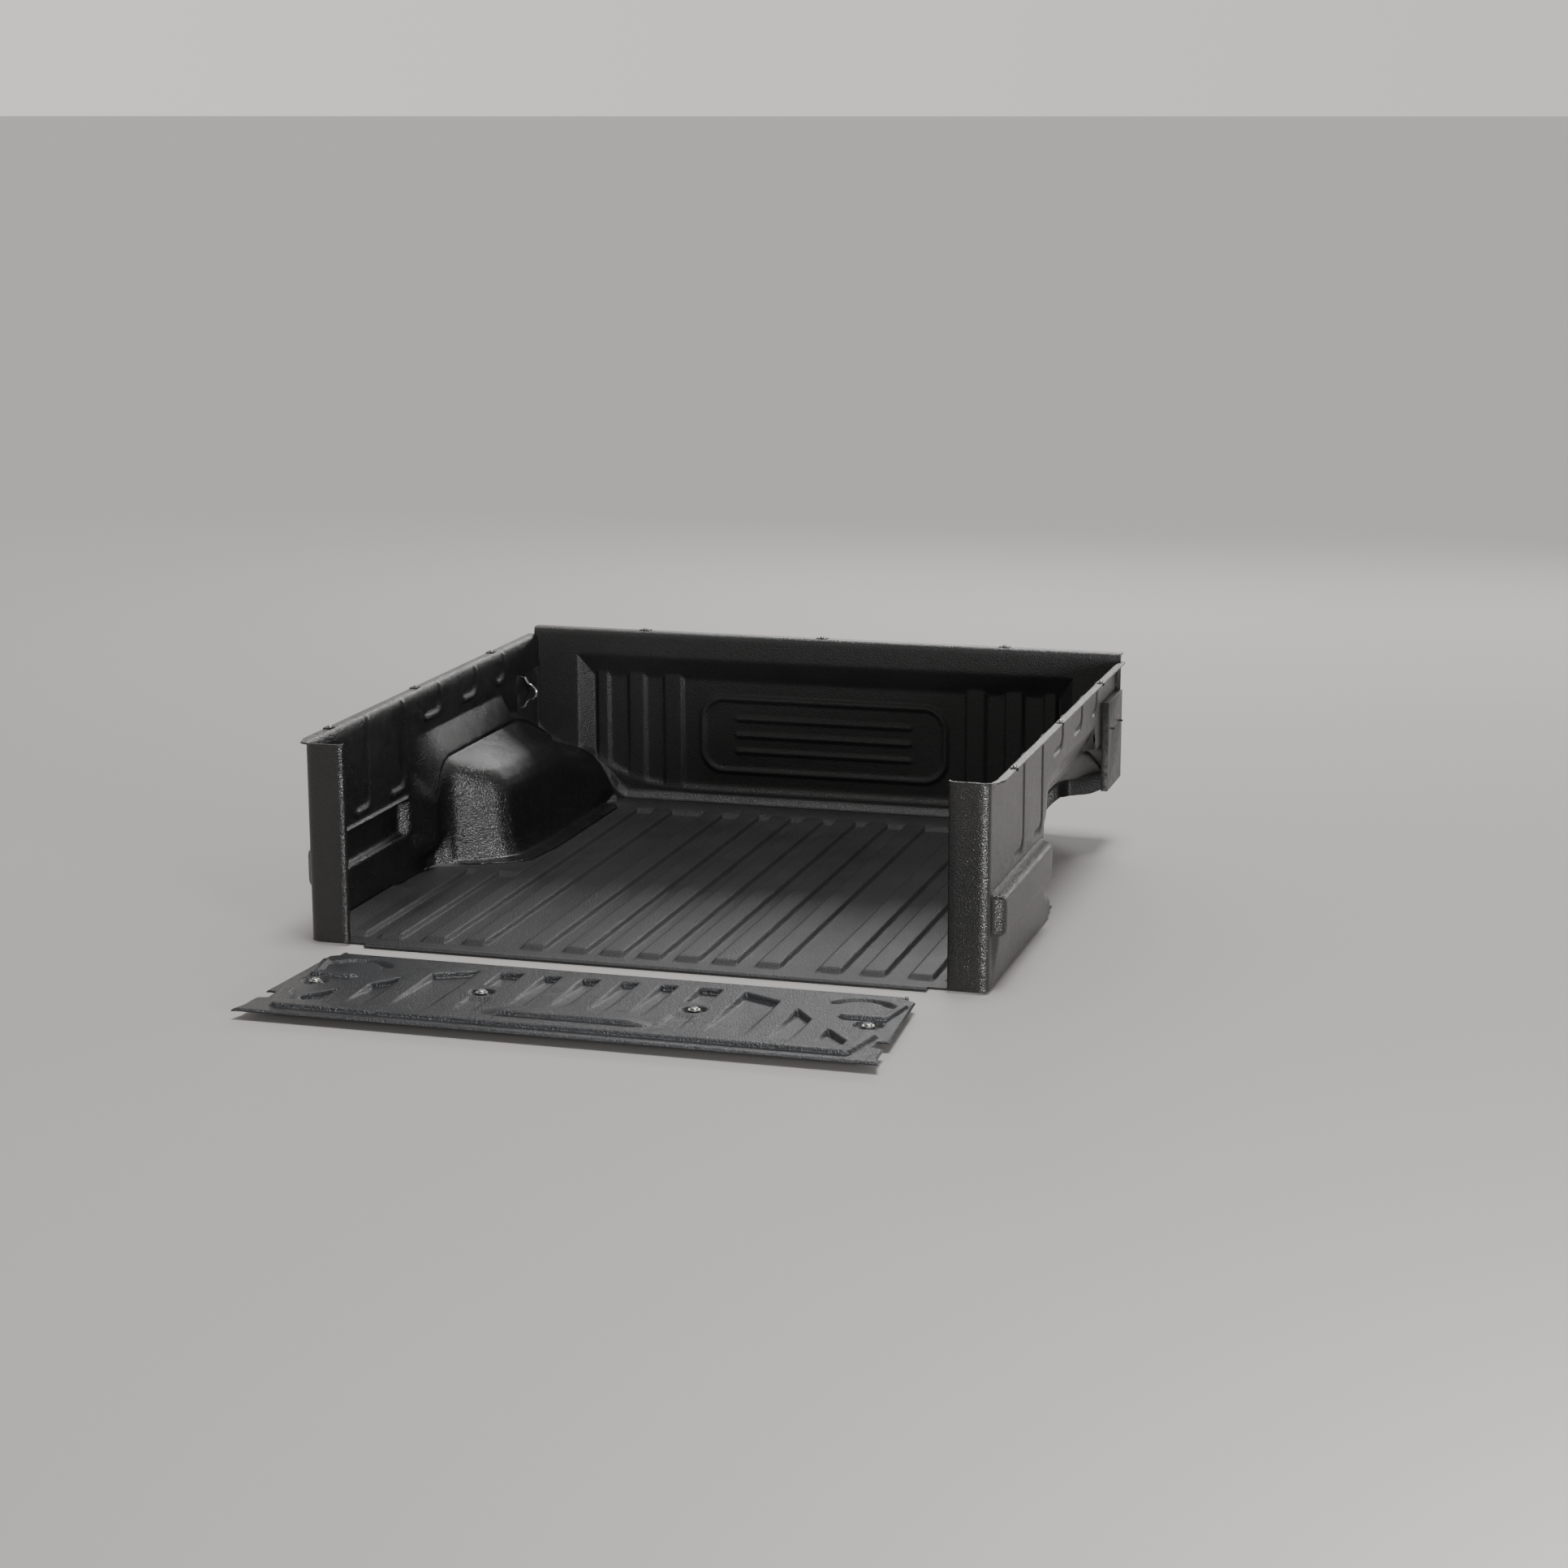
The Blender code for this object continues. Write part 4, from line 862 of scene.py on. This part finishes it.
# ---------------------------------------------------------------- fasteners
def turned_mesh(name, profile, origin, axis, sides=48, closed=False):
    """A turned body; profile holds (radius, height, hexagon), where hexagon 1 makes that ring six-sided."""
    axis = Vector(axis).normalized()
    side = axis.orthogonal().normalized()
    across = axis.cross(side)
    build = bmesh.new()
    rings = []
    for radius, height, hexagon in profile:
        centre = Vector(origin) + axis * height
        if radius == 0.0:
            rings.append([build.verts.new(centre)])
            continue
        ring = []
        for k in range(sides):
            turn = 2 * math.pi * k / sides
            flat = math.cos(math.pi / 6) / math.cos((turn % (math.pi / 3)) - math.pi / 6)
            reach = radius * (1.0 + hexagon * (flat - 1.0))
            ring.append(build.verts.new(centre + reach * (math.cos(turn) * side + math.sin(turn) * across)))
        rings.append(ring)
    pairs = list(zip(rings, rings[1:])) + ([(rings[-1], rings[0])] if closed else [])
    for low, high in pairs:
        for k in range(sides):
            n = (k + 1) % sides
            if len(low) == 1:
                build.faces.new((low[0], high[n], high[k]))
            elif len(high) == 1:
                build.faces.new((low[k], low[n], high[0]))
            else:
                build.faces.new((low[k], low[n], high[n], high[k]))
    bmesh.ops.recalc_face_normals(build, faces=build.faces)
    mesh = bpy.data.meshes.new(name)
    build.to_mesh(mesh)
    build.free()
    mesh.shade_smooth()
    mesh.set_sharp_from_angle(angle=math.radians(38))
    return mesh


def node_seat(node, axis):
    """Middle of a node's box and half its length along an axis."""
    low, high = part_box(node)
    middle = (low + high) / 2
    half = abs((high - low).dot(Vector(axis))) / 2
    return middle, half


def dome_head(head, rise, socket, depth):
    """Profile of a button head with a hexagon socket, from its rim to the socket's floor."""
    steps = 8
    dome = [(head, 0.0, 0.0), (head, 0.22 * rise, 0.0)]
    for k in range(1, steps + 1):
        turn = math.radians(18 + (72 - 18) * k / steps)
        dome.append((head * math.cos(turn) / math.cos(math.radians(18)) * 0.985,
                     rise * (0.22 + 0.78 * math.sin(turn) / math.sin(math.radians(72))), 0.0))
    dome = [point for point in dome if point[0] > socket * 1.12]
    return dome + [(socket * 1.06, rise, 0.0), (socket, rise - 0.0003, 1.0), (socket, rise - depth, 1.0),
                   (0.0, rise - depth - 0.0004, 0.0)]


def build_bolt(node, axis, shank, slot, body):
    """A button-head bolt with a fine thread, its head towards the axis."""
    middle, half = node_seat(node, axis)
    low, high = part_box(node)
    head = sorted(high - low)[1] / 2
    rise = 0.0052
    under = half - rise
    profile = [(0.0, -half, 0.0), (shank * 0.8, -half, 0.0)]
    pitch = 0.0008
    count = int((half + under - 0.001) / pitch)
    for k in range(count):
        height = -half + 0.0005 + pitch * k
        profile += [(shank, height, 0.0), (shank * 0.86, height + pitch / 2, 0.0)]
    profile += [(shank, under, 0.0)]
    for radius, height, hexagon in dome_head(head, rise, head * 0.36, 0.0026):
        profile.append((radius, under + height, hexagon))
    piece = add_piece(node, turned_mesh(node, profile, middle, axis), slot, body)
    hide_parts(node)


def build_washer(node, slot, body):
    """A flat ring with broken edges."""
    low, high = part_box(node)
    middle = (low + high) / 2
    half, outer, inner, edge = (high.z - low.z) / 2, (high.x - low.x) / 2, 0.0038, 0.0003
    profile = ((outer, -half + edge, 0), (outer, half - edge, 0), (outer - edge, half, 0),
               (inner + edge, half, 0), (inner, half - edge, 0), (inner, -half + edge, 0),
               (inner + edge, -half, 0), (outer - edge, -half, 0))
    piece = add_piece(node, turned_mesh(node, profile, middle, (0, 0, 1), closed=True), slot, body)
    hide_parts(node)


def build_nut(node, slot, body):
    """A hexagon nut with a chamfer at both ends."""
    low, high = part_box(node)
    middle = (low + high) / 2
    half, outer, inner = (high.z - low.z) / 2, (high.x - low.x) / 2, 0.0037
    flat = outer * math.cos(math.pi / 6)
    profile = ((flat, -half, 0), (outer, -half + 0.0006, 1), (outer, half - 0.0006, 1), (flat, half, 0),
               (inner + 0.0004, half, 0), (inner, half - 0.0004, 0), (inner, -half + 0.0004, 0),
               (inner + 0.0004, -half, 0))
    piece = add_piece(node, turned_mesh(node, profile, middle, (0, 0, 1), closed=True), slot, body)
    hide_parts(node)


def build_rounded_copy(node, slot, body, width):
    """The CAD node's own shape with its edges rounded."""
    build = bmesh.new()
    build.from_mesh(nodes[node].data)
    bmesh.ops.remove_doubles(build, verts=build.verts, dist=1e-6)
    bmesh.ops.dissolve_limit(build, angle_limit=math.radians(1.0), verts=build.verts, edges=build.edges)
    mesh = bpy.data.meshes.new(node)
    build.to_mesh(mesh)
    build.free()
    mesh.shade_smooth()
    piece = add_piece(node, mesh, slot, body)
    rounding = piece.modifiers.new("Edges", "BEVEL")
    rounding.width = width
    rounding.segments = 3
    rounding.limit_method = "ANGLE"
    rounding.harden_normals = True
    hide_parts(node)


def build_fasteners():
    """Tailgate bolts with washers and nuts, rail clips with screws, and the pockets behind the hooks."""
    for place in ("inner", "outer"):
        for side in ("left", "right"):
            build_bolt(f"gate_bolt_{place}_{side}", (0, 0, 1), 0.0030, "zinc", "tailgate")
            build_washer(f"gate_washer_{place}_{side}", "zinc", "tailgate")
            build_nut(f"gate_nut_{place}_{side}", "zinc", "tailgate")
    for rail in ("left", "right", "front"):
        for number in (1, 2, 3):
            build_bolt(f"rail_screw_{rail}_{number}", (0, 0, 1), 0.0022, "zinc", "bed")
            build_rounded_copy(f"rail_clip_{rail}_{number}", "black_steel", "bed", 0.0004)
    for side, sign in (("left", -1), ("right", 1)):
        build_rounded_copy(f"hook_pocket_{side}", "black_steel", "bed", 0.0012)
        for number in (1, 2):
            build_bolt(f"hook_screw_{side}_{number}", (-sign, 0, 0), 0.0028, "black_steel", "bed")


# ---------------------------------------------------------------- tie-down hooks
def build_hook(side, sign):
    """A bent chrome rod: two feet on the pocket's floor and a nose that sticks out into the bed."""
    node = f"tie_down_hook_{side}"
    low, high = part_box(node)
    root = high.x if sign > 0 else low.x
    middle_y, middle_z = (low.y + high.y) / 2, HOOK_HEIGHT
    points = ((0.0, 0.045), (0.008, 0.045), (0.0125, 0.034), (0.020, 0.024), (0.031, 0.019), (0.040, 0.011),
              (0.0425, 0.0), (0.040, -0.010), (0.031, -0.016), (0.020, -0.019), (0.0125, -0.029),
              (0.008, -0.041), (0.0, -0.041))
    rod = bpy.data.curves.new(node, "CURVE")
    rod.dimensions = "3D"
    rod.bevel_depth = HOOK_RADIUS
    rod.bevel_resolution = 6
    rod.use_fill_caps = True
    line = rod.splines.new("NURBS")
    line.points.add(len(points) - 1)
    line.order_u = 3
    line.use_endpoint_u = True
    line.resolution_u = 8
    for point, (out, up) in zip(line.points, points):
        point.co = (root - sign * out, middle_y, middle_z + up, 1.0)
    rod.materials.append(MATERIALS["chrome"])
    hook = bpy.data.objects.new(f"{node}_look", rod)
    bpy.context.scene.collection.objects.link(hook)
    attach(hook, "bed")
    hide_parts(node)


# ---------------------------------------------------------------- assembly
add_camera()
add_studio()
build_floor()
build_front_wall()
for side_name, side_sign in (("left", -1), ("right", 1)):
    build_side(f"side_liner_{side_name}", side_sign)
    build_hook(side_name, side_sign)
build_tailgate()
build_fasteners()
